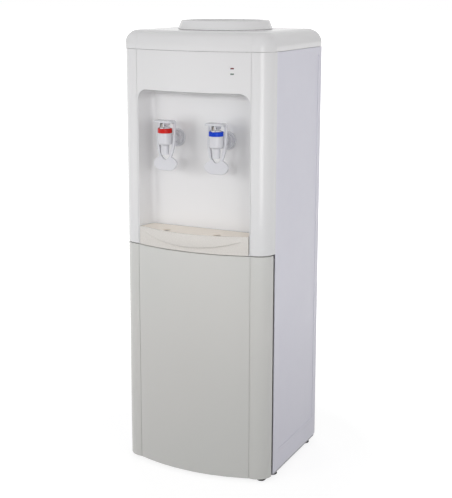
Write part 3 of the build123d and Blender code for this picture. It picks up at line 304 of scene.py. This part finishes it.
# %% The board and lens finishes
TRACKS_PER_METRE = 60.0
TRACK_WIDTH = 0.03
TRACK_RISE = 40
GROUND_SHADE = 0.9
LENS_FROST = 900.0
LENS_GLOSS = (0.22, 0.34)


def lacquered_board(slot, ground, track):
    """Lacquer with paler tracks, which stand up a little."""
    tree, shader = start_finish(slot, Roughness=0.35, Coat_Weight=0.4)
    place = add(tree, "ShaderNodeTexCoord")
    tracks = add(
        tree,
        "ShaderNodeTexBrick",
        {
            "Vector": place.outputs["Object"],
            "Color1": shader_colour(ground),
            "Color2": shader_colour([c * GROUND_SHADE for c in ground]),
            "Mortar": shader_colour(track),
            "Scale": TRACKS_PER_METRE,
            "Mortar Size": TRACK_WIDTH,
        },
    )
    tree.links.new(tracks.outputs["Color"], shader.inputs["Base Color"])
    bump_from(tree, shader, tracks.outputs["Fac"], TRACK_RISE)


def lamp_lens(slot, pale, deep):
    """Tinted, faintly frosted plastic under a clear coat."""
    tree, shader = start_finish(slot, Coat_Weight=0.6, Coat_Roughness=0.08)
    frost = noise(tree, LENS_FROST)
    colour_between(tree, shader, frost, pale, deep)
    roughness_between(tree, shader, frost, *LENS_GLOSS)


lacquered_board("board_green", (34, 96, 62), (58, 128, 86))
lamp_lens("lens_red", (120, 40, 44), (96, 26, 32))
lamp_lens("lens_green", (110, 128, 120), (88, 106, 98))
print(len(finishes), "finishes in all")

# %% [markdown]
# ## Dress the solids
# Finishes could be handed out one by one. But each solid has its material slot in the
# record, so one loop does it for all of them. The meshes themselves are left alone.

# %% Hand out the finishes
for node, piece in nodes.items():
    for place in piece.material_slots:
        place.material = finishes[slot_of[node]]
print("finished", len(nodes), "solids")

# %% [markdown]
# ## Geometry trees
# Some pieces follow a rule better than a list of points: the bottle seat, the feet and
# the screws are turned on a lathe, and the fan repeats one blade round a hub. Modelled by
# hand, each would have to be made again after every change. So each rule is written once
# as a geometry tree with named inputs. The helpers run a tree on a small seed mesh and
# keep the result as a plain mesh, so that nothing live is left behind.

# %% Helpers for geometry trees
SHARP_ANGLE = math.radians(38)
MM_PER_METRE = 1000


def start_tree(name, **inputs):
    """A geometry tree with named inputs, with its first and last node."""
    tree = bpy.data.node_groups.new(name, "GeometryNodeTree")
    tree.interface.new_socket("Geometry", in_out="INPUT", socket_type="NodeSocketGeometry")
    tree.interface.new_socket("Geometry", in_out="OUTPUT", socket_type="NodeSocketGeometry")
    for label, kind in inputs.items():
        shown = label.replace("_", " ")
        tree.interface.new_socket(shown, in_out="INPUT", socket_type="NodeSocket" + kind)
    return tree, tree.nodes.new("NodeGroupInput"), tree.nodes.new("NodeGroupOutput")


def reckon(tree, operation, *values):
    """The result of one step of arithmetic on numbers or sockets."""
    return add(tree, "ShaderNodeMath", dict(enumerate(values)), operation=operation).outputs[0]


def end_tree(tree, geometry, first, last):
    """Makes any copies real, gives the result its finish and hands it out."""
    real = add(tree, "GeometryNodeRealizeInstances", {"Geometry": geometry})
    painted = add(
        tree,
        "GeometryNodeSetMaterial",
        {"Geometry": real.outputs["Geometry"], "Material": first.outputs["Finish"]},
    )
    tree.links.new(painted.outputs["Geometry"], last.inputs["Geometry"])


def run_tree(name, tree, seed, **values):
    """The tree's result on a seed mesh, as a plain piece with outward faces."""
    holder = bpy.data.objects.new(name + "_seed", seed)
    bpy.context.scene.collection.objects.link(holder)
    modifier = holder.modifiers.new(name, "NODES")
    modifier.node_group = tree
    for item in tree.interface.items_tree:
        label = item.name.replace(" ", "_")
        if item.in_out == "INPUT" and label in values:
            modifier[item.identifier] = values[label]
    graph = bpy.context.evaluated_depsgraph_get()
    mesh = bpy.data.meshes.new_from_object(holder.evaluated_get(graph))
    bpy.data.objects.remove(holder)
    shape = bmesh.new()
    shape.from_mesh(mesh)
    bmesh.ops.recalc_face_normals(shape, faces=shape.faces)
    shape.to_mesh(mesh)
    shape.free()
    mesh.shade_smooth()
    mesh.set_sharp_from_angle(angle=SHARP_ANGLE)
    mesh.name = name
    piece = bpy.data.objects.new(name, mesh)
    bpy.context.scene.collection.objects.link(piece)
    return piece


def seed_points(name, points, closed=False):
    """A seed mesh of loose points, or of one closed outline."""
    mesh = bpy.data.meshes.new(name)
    count = len(points)
    edges = [(i, (i + 1) % count) for i in range(count)] if closed else []
    mesh.from_pydata(points, edges, [])
    return mesh


def stands_for(piece, node):
    """The piece takes the place of a solid on its body, and the solid is hidden."""
    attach(piece, body_of[node])
    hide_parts(node)
    low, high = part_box(node)
    corners = [piece.matrix_world @ Vector(corner) for corner in piece.bound_box]
    over = max(max(max(c[i] - high[i], low[i] - c[i]) for c in corners) for i in range(3))
    faces = len(piece.data.polygons)
    print(piece.name, faces, "faces, past the solid's box by", round(over * MM_PER_METRE, 2), "mm")


print("helpers for geometry trees ready")

# %% [markdown]
# ## A lathe
# A turned piece is an outline carried round an axle. The Screw modifier can do that too,
# but it doesn't round the outline's corners first. This tree takes the outline as a
# closed loop, rounds its corners, and sweeps it round a small circle. On that circle the
# outline's x points away from the axle and its y points down, so a height changes its
# sign on the way in.

# %% The lathe tree
AXLE = 0.001
SEAM = 0.000002
CORNER_STEPS = 5
lathe, first, last = start_tree("lathe", Rounding="Float", Steps="Int", Finish="Material")
outline = add(lathe, "GeometryNodeMeshToCurve", {"Mesh": first.outputs["Geometry"]})
rounded = add(
    lathe,
    "GeometryNodeFilletCurve",
    {
        "Curve": outline.outputs["Curve"],
        "Radius": first.outputs["Rounding"],
        "Count": CORNER_STEPS,
        "Limit Radius": True,
    },
    mode="POLY",
)
axle = add(
    lathe,
    "GeometryNodeCurvePrimitiveCircle",
    {"Resolution": first.outputs["Steps"], "Radius": AXLE},
)
swept = add(
    lathe,
    "GeometryNodeCurveToMesh",
    {"Curve": axle.outputs["Curve"], "Profile Curve": rounded.outputs["Curve"]},
)
closed = add(
    lathe,
    "GeometryNodeMergeByDistance",
    {"Geometry": swept.outputs["Mesh"], "Distance": SEAM},
)
end_tree(lathe, closed.outputs["Geometry"], first, last)


def turn(name, outline_mm, finish, rounding_mm, steps):
    """A piece turned about Z from an outline of (radius, height) in millimetres."""
    sizes = [(radius / MM_PER_METRE, height / MM_PER_METRE) for radius, height in outline_mm]
    points = [(radius - AXLE, -height, 0.0) for radius, height in sizes]
    seed = seed_points(name + "_outline", points, closed=True)
    rounding = rounding_mm / MM_PER_METRE
    return run_tree(name, lathe, seed, Rounding=rounding, Steps=steps, Finish=finish)


print("lathe ready")

# %% [markdown]
# ## The bottle seat
# An upturned bottle rests in this collar. Outside it is a low cone with a rounded rim,
# inside a throat that narrows like a funnel to the socket for the bottle's neck. It could
# be joined up from cones and tubes. But all of it is round about one axle, so one outline
# on the lathe gives every wall at once, without seams. The rim's height and the foot's
# radius come from the solid, and the shoulder is where the collar meets the cover.

# %% Turn the bottle seat
seat_low, seat_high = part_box("bottle_seat")
RIM = seat_high.z * MM_PER_METRE
FOOT = (seat_high.x - seat_low.x) / 2 * MM_PER_METRE
COLLAR_HEIGHT = 16.5
COVER_GAP = 0.2
FOOT_EDGE = 1.0
RIM_OUTER = 85.0
RIM_INNER = 80.0
RIM_FLARE = 3.0
SKIRT = 88.0
SKIRT_WALL = 2.5
SKIRT_DEPTH = 19.0
WALL = 3.0
THROAT = 78.0
THROAT_END = 5.3
UNDERSIDE = 6.5
SOCKET = 30.0
SOCKET_FLOOR = 80.5
PROBE_HOLE = 11.0
funnel_drop = THROAT - SOCKET
shoulder = RIM - COLLAR_HEIGHT
seat_outline = [
    (RIM_OUTER, RIM),
    (FOOT, shoulder + COVER_GAP + FOOT_EDGE),
    (FOOT, shoulder + COVER_GAP),
    (SKIRT, shoulder + COVER_GAP),
    (SKIRT, shoulder - SKIRT_DEPTH),
    (SKIRT - SKIRT_WALL, shoulder - SKIRT_DEPTH),
    (SKIRT - SKIRT_WALL, shoulder - UNDERSIDE),
    (THROAT + WALL, shoulder - UNDERSIDE),
    (SOCKET + WALL, shoulder - UNDERSIDE - funnel_drop),
    (SOCKET + WALL, shoulder - SOCKET_FLOOR - WALL),
    (PROBE_HOLE, shoulder - SOCKET_FLOOR - WALL),
    (PROBE_HOLE, shoulder - SOCKET_FLOOR),
    (SOCKET, shoulder - SOCKET_FLOOR),
    (SOCKET, shoulder - THROAT_END - funnel_drop),
    (THROAT, shoulder - THROAT_END),
    (THROAT, RIM - RIM_FLARE),
    (RIM_INNER, RIM),
]
seat_finish = finishes[slot_of["bottle_seat"]]
bottle_seat = turn("bottle_seat_turned", seat_outline, seat_finish, rounding_mm=1.6, steps=160)
seat_middle = (Vector(seat_low) + Vector(seat_high)) / 2
bottle_seat.data.transform(Matrix.Translation((seat_middle.x, seat_middle.y, 0.0)))
stands_for(bottle_seat, "bottle_seat")

# %% [markdown]
# ## Where repeated pieces sit
# The feet and the screws are several lumps in one solid. Their places could be typed in,
# but they would go wrong with the next change of the machine. So they are read from the
# solid itself: its points are merged and grouped by the edges that join them, and the
# middle of each group is one place. A set hands out points in no fixed order, so the
# places are sorted. The scattering tree then puts one copy on each.

# %% The scattering tree
WELD = 0.000005


def island_middles(node):
    """The middle of each separate lump of a solid, from its box, in a fixed order."""
    shape = bmesh.new()
    shape.from_mesh(nodes[node].data)
    shape.transform(nodes[node].matrix_world)
    bmesh.ops.remove_doubles(shape, verts=shape.verts, dist=WELD)
    waiting = set(shape.verts)
    middles = []
    while waiting:
        island = [waiting.pop()]
        for vert in island:
            near = [edge.other_vert(vert) for edge in vert.link_edges]
            fresh = [other for other in near if other in waiting]
            waiting.difference_update(fresh)
            island.extend(fresh)
        spans = [[vert.co[axis] for vert in island] for axis in range(3)]
        middles.append([(min(span) + max(span)) / 2 for span in spans])
    shape.free()
    return sorted(middles)


scatter, first, last = start_tree("scatter", Piece="Object", Finish="Material")
model = add(
    scatter,
    "GeometryNodeObjectInfo",
    {"Object": first.outputs["Piece"], "As Instance": True},
)
copies = add(
    scatter,
    "GeometryNodeInstanceOnPoints",
    {"Points": first.outputs["Geometry"], "Instance": model.outputs["Geometry"]},
)
end_tree(scatter, copies.outputs["Instances"], first, last)


def scatter_copies(name, model_piece, places, finish):
    """One copy of a model on each place, joined as one piece. The model is used up."""
    seed = seed_points(name + "_places", places)
    piece = run_tree(name, scatter, seed, Piece=model_piece, Finish=finish)
    bpy.data.objects.remove(model_piece)
    return piece


print("scattering tree ready")

# %% [markdown]
# ## The feet
# Four rubber feet carry the machine. Each is a low button with a groove round its flank,
# as many real ones have. A plain disc would do for the height, but the groove draws a
# thin line of shade just above the floor. So one outline is turned on the lathe, and the
# scattering tree sets it at the four corners.

# %% Turn one foot and set four
foot_places = island_middles("feet")
foot_low, foot_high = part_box("feet")
FOOT_HEIGHT = (foot_high.z - foot_low.z) * MM_PER_METRE
SOLE = 10.2
SOLE_BULGE = 10.9
BULGE_HEIGHT = 0.9
GROOVE = 9.7
GROOVE_LOW = 2.7
GROOVE_HIGH = 3.4
GROOVE_EDGE = 0.3
LOWER_LIP = 10.4
UPPER_LIP = 10.2
FOOT_TOP = 9.5
foot_outline = [
    (0.0, 0.0),
    (SOLE, 0.0),
    (SOLE_BULGE, BULGE_HEIGHT),
    (LOWER_LIP, GROOVE_LOW - GROOVE_EDGE),
    (GROOVE, GROOVE_LOW),
    (GROOVE, GROOVE_HIGH),
    (UPPER_LIP, GROOVE_HIGH + GROOVE_EDGE),
    (FOOT_TOP, FOOT_HEIGHT),
    (0.0, FOOT_HEIGHT),
]
foot_finish = finishes[slot_of["feet"]]
foot = turn("foot_model", foot_outline, foot_finish, rounding_mm=0.3, steps=48)
foot.data.transform(Matrix.Translation((0.0, 0.0, -FOOT_HEIGHT / 2 / MM_PER_METRE)))
feet = scatter_copies("feet_turned", foot, foot_places, foot_finish)
stands_for(feet, "feet")
print(len(foot_places), "feet")

# %% [markdown]
# ## The cross in a screw's head
# Pan-head screws hold the rear panel. The cross in such a head could be a dark print, but
# a cut one catches the light from every side. So a tree cuts it out with two bars: each
# stands on the floor of the recess, one is turned by a quarter, and a boolean takes them
# away from the head.

# %% The cross recess tree
recess, first, last = start_tree(
    "cross_recess", Length="Float", Width="Float", Floor="Float", Finish="Material"
)
half_bar = reckon(recess, "MULTIPLY", first.outputs["Length"], 0.5)
bar_middle = reckon(recess, "ADD", half_bar, first.outputs["Floor"])
lift = add(recess, "ShaderNodeCombineXYZ", {"Z": bar_middle})
size = add(
    recess,
    "ShaderNodeCombineXYZ",
    {"X": first.outputs["Length"], "Y": first.outputs["Width"], "Z": first.outputs["Length"]},
)
bar = add(recess, "GeometryNodeMeshCube", {"Size": size.outputs["Vector"]})
head = first.outputs["Geometry"]
for quarter in (0.0, math.pi / 2):
    placed = add(
        recess,
        "GeometryNodeTransform",
        {
            "Geometry": bar.outputs["Mesh"],
            "Translation": lift.outputs["Vector"],
            "Rotation": (0.0, 0.0, quarter),
        },
    )
    cut = add(
        recess,
        "GeometryNodeMeshBoolean",
        {"Mesh 1": head, "Mesh 2": placed.outputs["Geometry"]},
        operation="DIFFERENCE",
    )
    head = cut.outputs["Mesh"]
end_tree(recess, head, first, last)
print("recess tree ready")

# %% [markdown]
# ## One screw, ten places
# Ten screws modelled one by one would be ten chances to differ. So one is turned on the
# lathe, from the tip of its shank to the crown of its head, gets its recess, and is laid
# down so that its head looks to the back. Its length comes from the solid, and copies go
# to the places of the solid's screws.

# %% Turn one screw and set the row
screw_places = island_middles("rear_panel_screws")
screw_low, screw_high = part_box("rear_panel_screws")
SCREW_LONG = (screw_high.y - screw_low.y) * MM_PER_METRE
SHANK = 1.7
TIP_TAPER = 0.5
TIP_LENGTH = 0.8
HEAD = 3.4
HEAD_HEIGHT = 2.0
HEAD_FLANK = 0.9
CROWN_INSET = 1.1
CROWN_RISE = 0.2
RECESS_LENGTH = 3.6
RECESS_WIDTH = 0.9
RECESS_DEPTH = 1.2
neck = SCREW_LONG - HEAD_HEIGHT
screw_outline = [
    (0.0, 0.0),
    (SHANK - TIP_TAPER, 0.0),
    (SHANK, TIP_LENGTH),
    (SHANK, neck),
    (HEAD, neck),
    (HEAD, neck + HEAD_FLANK),
    (HEAD - CROWN_INSET, SCREW_LONG - CROWN_RISE),
    (0.0, SCREW_LONG),
]
screw_finish = finishes[slot_of["rear_panel_screws"]]
plain_screw = turn("screw_plain", screw_outline, screw_finish, rounding_mm=0.25, steps=40)
screw = run_tree(
    "screw_model",
    recess,
    plain_screw.data,
    Length=RECESS_LENGTH / MM_PER_METRE,
    Width=RECESS_WIDTH / MM_PER_METRE,
    Floor=(SCREW_LONG - RECESS_DEPTH) / MM_PER_METRE,
    Finish=screw_finish,
)
bpy.data.objects.remove(plain_screw)
faces_back = Matrix.Rotation(-math.pi / 2, 4, "X")
centred = Matrix.Translation((0.0, 0.0, -SCREW_LONG / 2 / MM_PER_METRE))
screw.data.transform(faces_back @ centred)
screws = scatter_copies("rear_screws_turned", screw, screw_places, screw_finish)
stands_for(screws, "rear_panel_screws")
print(len(screw_places), "screws")

# %% [markdown]
# ## A fan blade
# The cooler's fan is seen through the slots in the rear panel. A moulded fan blade is
# twisted: steep at the hub, where it moves slowly, and flatter at the tip. A flat, tilted
# plate would be simpler, but wouldn't catch the light along a curve. So the tree bends a
# small grid by that rule, gives it thickness and repeats it round the hub.

# %% The fan tree
GRID_ALONG = 14
GRID_ACROSS = 8
BLADE_SEAM = 0.00001
fan, first, last = start_tree(
    "fan_blades",
    Blades="Int",
    Hub="Float",
    Tip="Float",
    Chord="Float",
    Root_Pitch="Float",
    Tip_Pitch="Float",
    Thickness="Float",
    Finish="Material",
)
grid = add(
    fan,
    "GeometryNodeMeshGrid",
    {"Size X": 1.0, "Size Y": 1.0, "Vertices X": GRID_ALONG, "Vertices Y": GRID_ACROSS},
)
spot = add(fan, "GeometryNodeInputPosition")
across = add(fan, "ShaderNodeSeparateXYZ", {"Vector": spot.outputs["Position"]})
along = reckon(fan, "ADD", across.outputs["X"], 0.5)
reach = add(
    fan,
    "ShaderNodeMapRange",
    {"Value": along, "To Min": first.outputs["Hub"], "To Max": first.outputs["Tip"]},
)
pitch = add(
    fan,
    "ShaderNodeMapRange",
    {"Value": along, "To Min": first.outputs["Root Pitch"], "To Max": first.outputs["Tip Pitch"]},
)
chord = reckon(fan, "MULTIPLY", across.outputs["Y"], first.outputs["Chord"])
axial = reckon(fan, "MULTIPLY", chord, reckon(fan, "SINE", pitch.outputs["Result"]))
tangent = reckon(fan, "MULTIPLY", chord, reckon(fan, "COSINE", pitch.outputs["Result"]))
bent = add(
    fan,
    "ShaderNodeCombineXYZ",
    {"X": reach.outputs["Result"], "Y": axial, "Z": tangent},
)
blade = add(
    fan,
    "GeometryNodeSetPosition",
    {"Geometry": grid.outputs["Mesh"], "Position": bent.outputs["Vector"]},
)
upper = add(
    fan,
    "GeometryNodeExtrudeMesh",
    {
        "Mesh": blade.outputs["Geometry"],
        "Offset Scale": first.outputs["Thickness"],
        "Individual": False,
    },
)
under = add(fan, "GeometryNodeFlipFaces", {"Mesh": blade.outputs["Geometry"]})
both = add(fan, "GeometryNodeJoinGeometry")
fan.links.new(upper.outputs["Mesh"], both.inputs["Geometry"])
fan.links.new(under.outputs["Mesh"], both.inputs["Geometry"])
thick = add(
    fan,
    "GeometryNodeMergeByDistance",
    {"Geometry": both.outputs["Geometry"], "Distance": BLADE_SEAM},
)
spots = add(fan, "GeometryNodePoints", {"Count": first.outputs["Blades"]})
number = add(fan, "GeometryNodeInputIndex")
step = reckon(fan, "DIVIDE", 2 * math.pi, first.outputs["Blades"])
spin = add(
    fan,
    "ShaderNodeCombineXYZ",
    {"Y": reckon(fan, "MULTIPLY", number.outputs["Index"], step)},
)
ring = add(
    fan,
    "GeometryNodeInstanceOnPoints",
    {
        "Points": spots.outputs["Points"],
        "Instance": thick.outputs["Geometry"],
        "Rotation": spin.outputs["Vector"],
    },
)
end_tree(fan, ring.outputs["Instances"], first, last)
print("fan tree ready")

# %% [markdown]
# ## Hub and blades
# The hub is a cup, open to the back, with a sleeve for the axle in its middle. It could be
# cut from a cylinder, but it is round, so the lathe turns it from one outline. The blades
# start just inside its wall so that no gap shows, and they end a little short of the
# solid's reach.

# %% Turn the hub and set the blades
fan_low, fan_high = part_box("fan_rotor")
fan_middle = (Vector(fan_low) + Vector(fan_high)) / 2
fan_finish = finishes[slot_of["fan_rotor"]]
FAN_LONG = (fan_high.y - fan_low.y) * MM_PER_METRE
HUB = 15.0
HUB_WALL = 1.6
HUB_FRONT = 0.6
HUB_SHORT_BY = 0.4
CUP_FLOOR = 3.0
BORE = 2.06
BORE_FLOOR = 2.2
SLEEVE_WALL = 2.0
BLADE_COUNT = 7
BLADE_CHORD = 15.0
BLADE_THICKNESS = 1.1
BLADE_OVERLAP = 0.4
TIP_GAP = 0.6
ROOT_PITCH = math.radians(38)
TIP_PITCH = math.radians(24)
hub_back = FAN_LONG - HUB_SHORT_BY
hub_outline = [
    (0.0, HUB_FRONT),
    (HUB, HUB_FRONT),
    (HUB, hub_back),
    (HUB - HUB_WALL, hub_back),
    (HUB - HUB_WALL, CUP_FLOOR),
    (BORE + SLEEVE_WALL, CUP_FLOOR),
    (BORE + SLEEVE_WALL, hub_back),
    (BORE, hub_back),
    (BORE, BORE_FLOOR),
    (0.0, BORE_FLOOR),
]
hub = turn("fan_hub", hub_outline, fan_finish, rounding_mm=0.7, steps=64)
hub_place = Matrix.Translation((fan_middle.x, fan_low.y, fan_middle.z))
hub.data.transform(hub_place @ faces_back)
blades = run_tree(
    "fan_blades",
    fan,
    seed_points("fan_seed", [(0.0, 0.0, 0.0)]),
    Blades=BLADE_COUNT,
    Hub=(HUB - BLADE_OVERLAP) / MM_PER_METRE,
    Tip=(fan_high.x - fan_low.x) / 2 - TIP_GAP / MM_PER_METRE,
    Chord=BLADE_CHORD / MM_PER_METRE,
    Root_Pitch=ROOT_PITCH,
    Tip_Pitch=TIP_PITCH,
    Thickness=BLADE_THICKNESS / MM_PER_METRE,
    Finish=fan_finish,
)
blades.data.transform(Matrix.Translation(fan_middle))
stands_for(hub, "fan_rotor")
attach(blades, body_of["fan_rotor"])
print("fan with", len(blades.data.polygons), "blade faces")

# %% [markdown]
# ## A coil spring
# A coil spring in each tap pushes the valve shut. Its wire could be drawn point by point
# along a helix. The tree has a spiral for that, so turns, radius, height and wire stay
# four named sizes.

# %% The spring tree
WINDING_STEPS = 40
WIRE_STEPS = 12
coil, first, last = start_tree(
    "coil_spring", Turns="Float", Radius="Float", Height="Float", Wire="Float", Finish="Material"
)
winding = add(
    coil,
    "GeometryNodeCurveSpiral",
    {
        "Resolution": WINDING_STEPS,
        "Rotations": first.outputs["Turns"],
        "Start Radius": first.outputs["Radius"],
        "End Radius": first.outputs["Radius"],
        "Height": first.outputs["Height"],
    },
)
section = add(
    coil,
    "GeometryNodeCurvePrimitiveCircle",
    {"Resolution": WIRE_STEPS, "Radius": first.outputs["Wire"]},
)
wire = add(
    coil,
    "GeometryNodeCurveToMesh",
    {"Curve": winding.outputs["Curve"], "Profile Curve": section.outputs["Curve"], "Fill Caps": True},
)
end_tree(coil, wire.outputs["Mesh"], first, last)
print("spring tree ready")

# %% [markdown]
# ## Two springs
# When a lever lifts its stem, the lower end of the coil rises and the upper end stays
# under the bonnet, so the coil gets shorter. A rigid coil would be pushed into the bonnet
# instead. Here each coil is wound once, at the length of its solid, and takes the solid's
# place on its body with a mesh of its own.

# %% Wind the springs
WIRE_RADIUS = 0.0005
SPRING_TURNS = 5.0
for tap in ("hot", "cold"):
    node = tap + "_spring"
    spring_low, spring_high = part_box(node)
    spring_long = spring_high.z - spring_low.z
    spring = run_tree(
        node + "_wound",
        coil,
        seed_points(node + "_seed", [(0.0, 0.0, 0.0)]),
        Turns=SPRING_TURNS,
        Radius=(spring_high.x - spring_low.x) / 2 - WIRE_RADIUS,
        Height=spring_long - 2 * WIRE_RADIUS,
        Wire=WIRE_RADIUS,
        Finish=finishes[slot_of[node]],
    )
    middle_x = (spring_low.x + spring_high.x) / 2
    middle_y = (spring_low.y + spring_high.y) / 2
    spring.data.transform(Matrix.Translation((middle_x, middle_y, spring_low.z + WIRE_RADIUS)))
    stands_for(spring, node)
    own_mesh(spring)

# %% [markdown]
# ## The studio floor
# The machine was photographed on a seamless white ground. A curved backdrop would give
# that from the front, but it would stand in the way of every view from behind. So the
# floor is one large plane, and the world takes over at the horizon.

# %% The floor
FLOOR_HALF = 40.0
floor_mesh = bpy.data.meshes.new("studio_floor")
corner_signs = [(-1, -1), (1, -1), (1, 1), (-1, 1)]
floor_points = [(FLOOR_HALF * x, FLOOR_HALF * y, 0.0) for x, y in corner_signs]
floor_mesh.from_pydata(floor_points, [], [(0, 1, 2, 3)])
floor = bpy.data.objects.new("studio_floor", floor_mesh)
bpy.context.scene.collection.objects.link(floor)
print("floor", 2 * FLOOR_HALF, "m across")

# %% [markdown]
# ## Paper that looks white and lights grey
# White paper under enough light to look white would also light the machine too much from
# below. So the floor is grey paper to the light, and to the camera, to mirrors and to
# glass it glows white as well. Close to the machine only a share of that glow is mixed
# in, which keeps a trace of the shadow, and further away it takes over.

# %% The floor's paper
PAPER_GREY = (0.5, 0.5, 0.5, 1.0)
FLOOR_SHARE = 0.5
FLOOR_GLOW = 1.68
FADE_START = 0.3
FADE_END = 1.2


def background_rays(tree):
    """1 for rays that should see the bright ground: camera, mirror and glass rays."""
    path = add(tree, "ShaderNodeLightPath")
    seen = reckon(tree, "MAXIMUM", path.outputs["Is Camera Ray"], path.outputs["Is Glossy Ray"])
    return reckon(tree, "MAXIMUM", seen, path.outputs["Is Transmission Ray"])


floor_finish = bpy.data.materials.new("studio_floor_finish")
floor_finish.use_nodes = True
tree = floor_finish.node_tree
tree.nodes.remove(tree.nodes["Principled BSDF"])
paper = add(tree, "ShaderNodeBsdfDiffuse", {"Color": PAPER_GREY})
glow = add(tree, "ShaderNodeEmission", {"Strength": FLOOR_GLOW})
spot = add(tree, "ShaderNodeTexCoord")
distance = add(tree, "ShaderNodeVectorMath", {0: spot.outputs["Object"]}, operation="LENGTH")
fade = add(
    tree,
    "ShaderNodeMapRange",
    {
        "Value": distance.outputs["Value"],
        "From Min": FADE_START,
        "From Max": FADE_END,
        "To Min": FLOOR_SHARE,
        "To Max": 1.0,
    },
)
share = reckon(tree, "MULTIPLY", background_rays(tree), fade.outputs["Result"])
mixed = add(
    tree,
    "ShaderNodeMixShader",
    {"Fac": share, 1: paper.outputs["BSDF"], 2: glow.outputs["Emission"]},
)
tree.links.new(mixed.outputs["Shader"], tree.nodes["Material Output"].inputs["Surface"])
floor_mesh.materials.append(floor_finish)
print("paper glows at", FLOOR_GLOW, "from", FADE_END, "m on")

# %% [markdown]
# ## The world
# The even part of the light could come from many weak lamps, but a plain white world does
# it at once. It lights the machine at less than half strength, while the camera, mirrors
# and glass see it as white, like the floor.

# %% The world's light
AMBIENT = 0.46
WHITE = (1.0, 1.0, 1.0, 1.0)
world = bpy.data.worlds.new("studio_world")
bpy.context.scene.world = world
world.use_nodes = True
tree = world.node_tree
sky = tree.nodes["Background"]
sky.inputs["Color"].default_value = WHITE
level = add(
    tree,
    "ShaderNodeMapRange",
    {"Value": background_rays(tree), "To Min": AMBIENT, "To Max": 1.0},
)
tree.links.new(level.outputs["Result"], sky.inputs["Strength"])
print("world at", AMBIENT)

# %% [markdown]
# ## The lamps
# The light in the picture is broad and frontal: the front is the brightest face, the
# top and the right side are a little darker, and the door darkens towards the floor.
# One lamp can't do that, so softboxes give each face its own level. Mirror rays don't see
# them, because their discs would show as hard patches in the gloss. Three narrow beams
# lift the alcove and the top of the side. One upright panel is seen by mirror rays only,
# and draws the broad, soft highlight down the rounded corner. It ends below the height of
# the cover, so that the flat top never mirrors it.

# %% Set the lamps
PANEL_HEIGHT = 0.82
PANEL_MIDDLE = 0.42


def softbox(name, place, target, size, watts, spread=180.0):
    """A round, soft lamp that mirrors don't see, with the spread of its light in degrees."""
    lamp = bpy.data.lights.new(name, "AREA")
    lamp.shape = "DISK"
    lamp.size = size
    lamp.energy = watts
    lamp.spread = math.radians(spread)
    holder = bpy.data.objects.new(name, lamp)
    holder.location = place
    holder.rotation_euler = (Vector(target) - Vector(place)).to_track_quat("-Z", "Y").to_euler()
    holder.visible_glossy = False
    bpy.context.scene.collection.objects.link(holder)
    return holder


softbox("front_softbox", (-1.3, -2.3, 1.05), (0.0, -0.1, 0.62), size=1.5, watts=16.5)
softbox("left_softbox", (-2.2, -1.5, 0.95), (0.0, -0.1, 0.62), size=1.5, watts=5.0)
softbox("side_softbox", (2.5, -0.55, 1.1), (0.1, 0.0, 0.65), size=1.5, watts=8.0)
softbox("rear_softbox", (-1.4, 2.2, 1.2), (0.0, 0.1, 0.5), size=1.5, watts=14.0)
softbox("alcove_beam", (1.9, -1.8, 1.0), (-0.05, -0.1, 0.66), size=1.2, watts=1.1, spread=50.0)
softbox("alcove_pool", (0.1, -2.4, 1.0), (-0.02, -0.1, 0.62), size=0.5, watts=0.10, spread=14.0)
softbox("side_beam", (2.6, -0.6, 0.9), (0.0, -0.1, 0.80), size=1.2, watts=0.25, spread=50.0)
panel_place = (1.5, -2.1, PANEL_MIDDLE)
panel = softbox("corner_panel", panel_place, (0.1, -0.1, PANEL_MIDDLE), size=1.0, watts=7.2)
panel.data.shape = "RECTANGLE"
panel.data.size_y = PANEL_HEIGHT
panel.visible_glossy = True
panel.visible_diffuse = False
print(len(bpy.data.lights), "lamps")

# %% [markdown]
# ## Camera
# The camera stands to the right of the machine, a little above its top, and looks
# slightly down. Set by eye, the machine's edges would miss the picture's, so the camera's
# place was worked out from the way those edges converge. A small downward shift of the
# frame keeps the perspective and centres the object.

# %% The camera
CAMERA_PLACE = (0.9377, -1.9260, 0.9379)
LOOK_DOWN = 0.2020
CAMERA_ROLL = -0.0020
CAMERA_YAW = 0.4490
CAMERA_LENS = 79.75
SENSOR_WIDTH = 36.0
CAMERA_SHIFT = -0.0743
view = bpy.data.cameras.new("studio_camera")
view.lens = CAMERA_LENS
view.sensor_width = SENSOR_WIDTH
view.shift_y = CAMERA_SHIFT
camera = bpy.data.objects.new("studio_camera", view)
camera.location = CAMERA_PLACE
camera.rotation_euler = (math.pi / 2 - LOOK_DOWN, CAMERA_ROLL, CAMERA_YAW)
bpy.context.scene.collection.objects.link(camera)
bpy.context.scene.camera = camera
bpy.context.scene.view_settings.view_transform = "Standard"
print("camera at", CAMERA_PLACE)
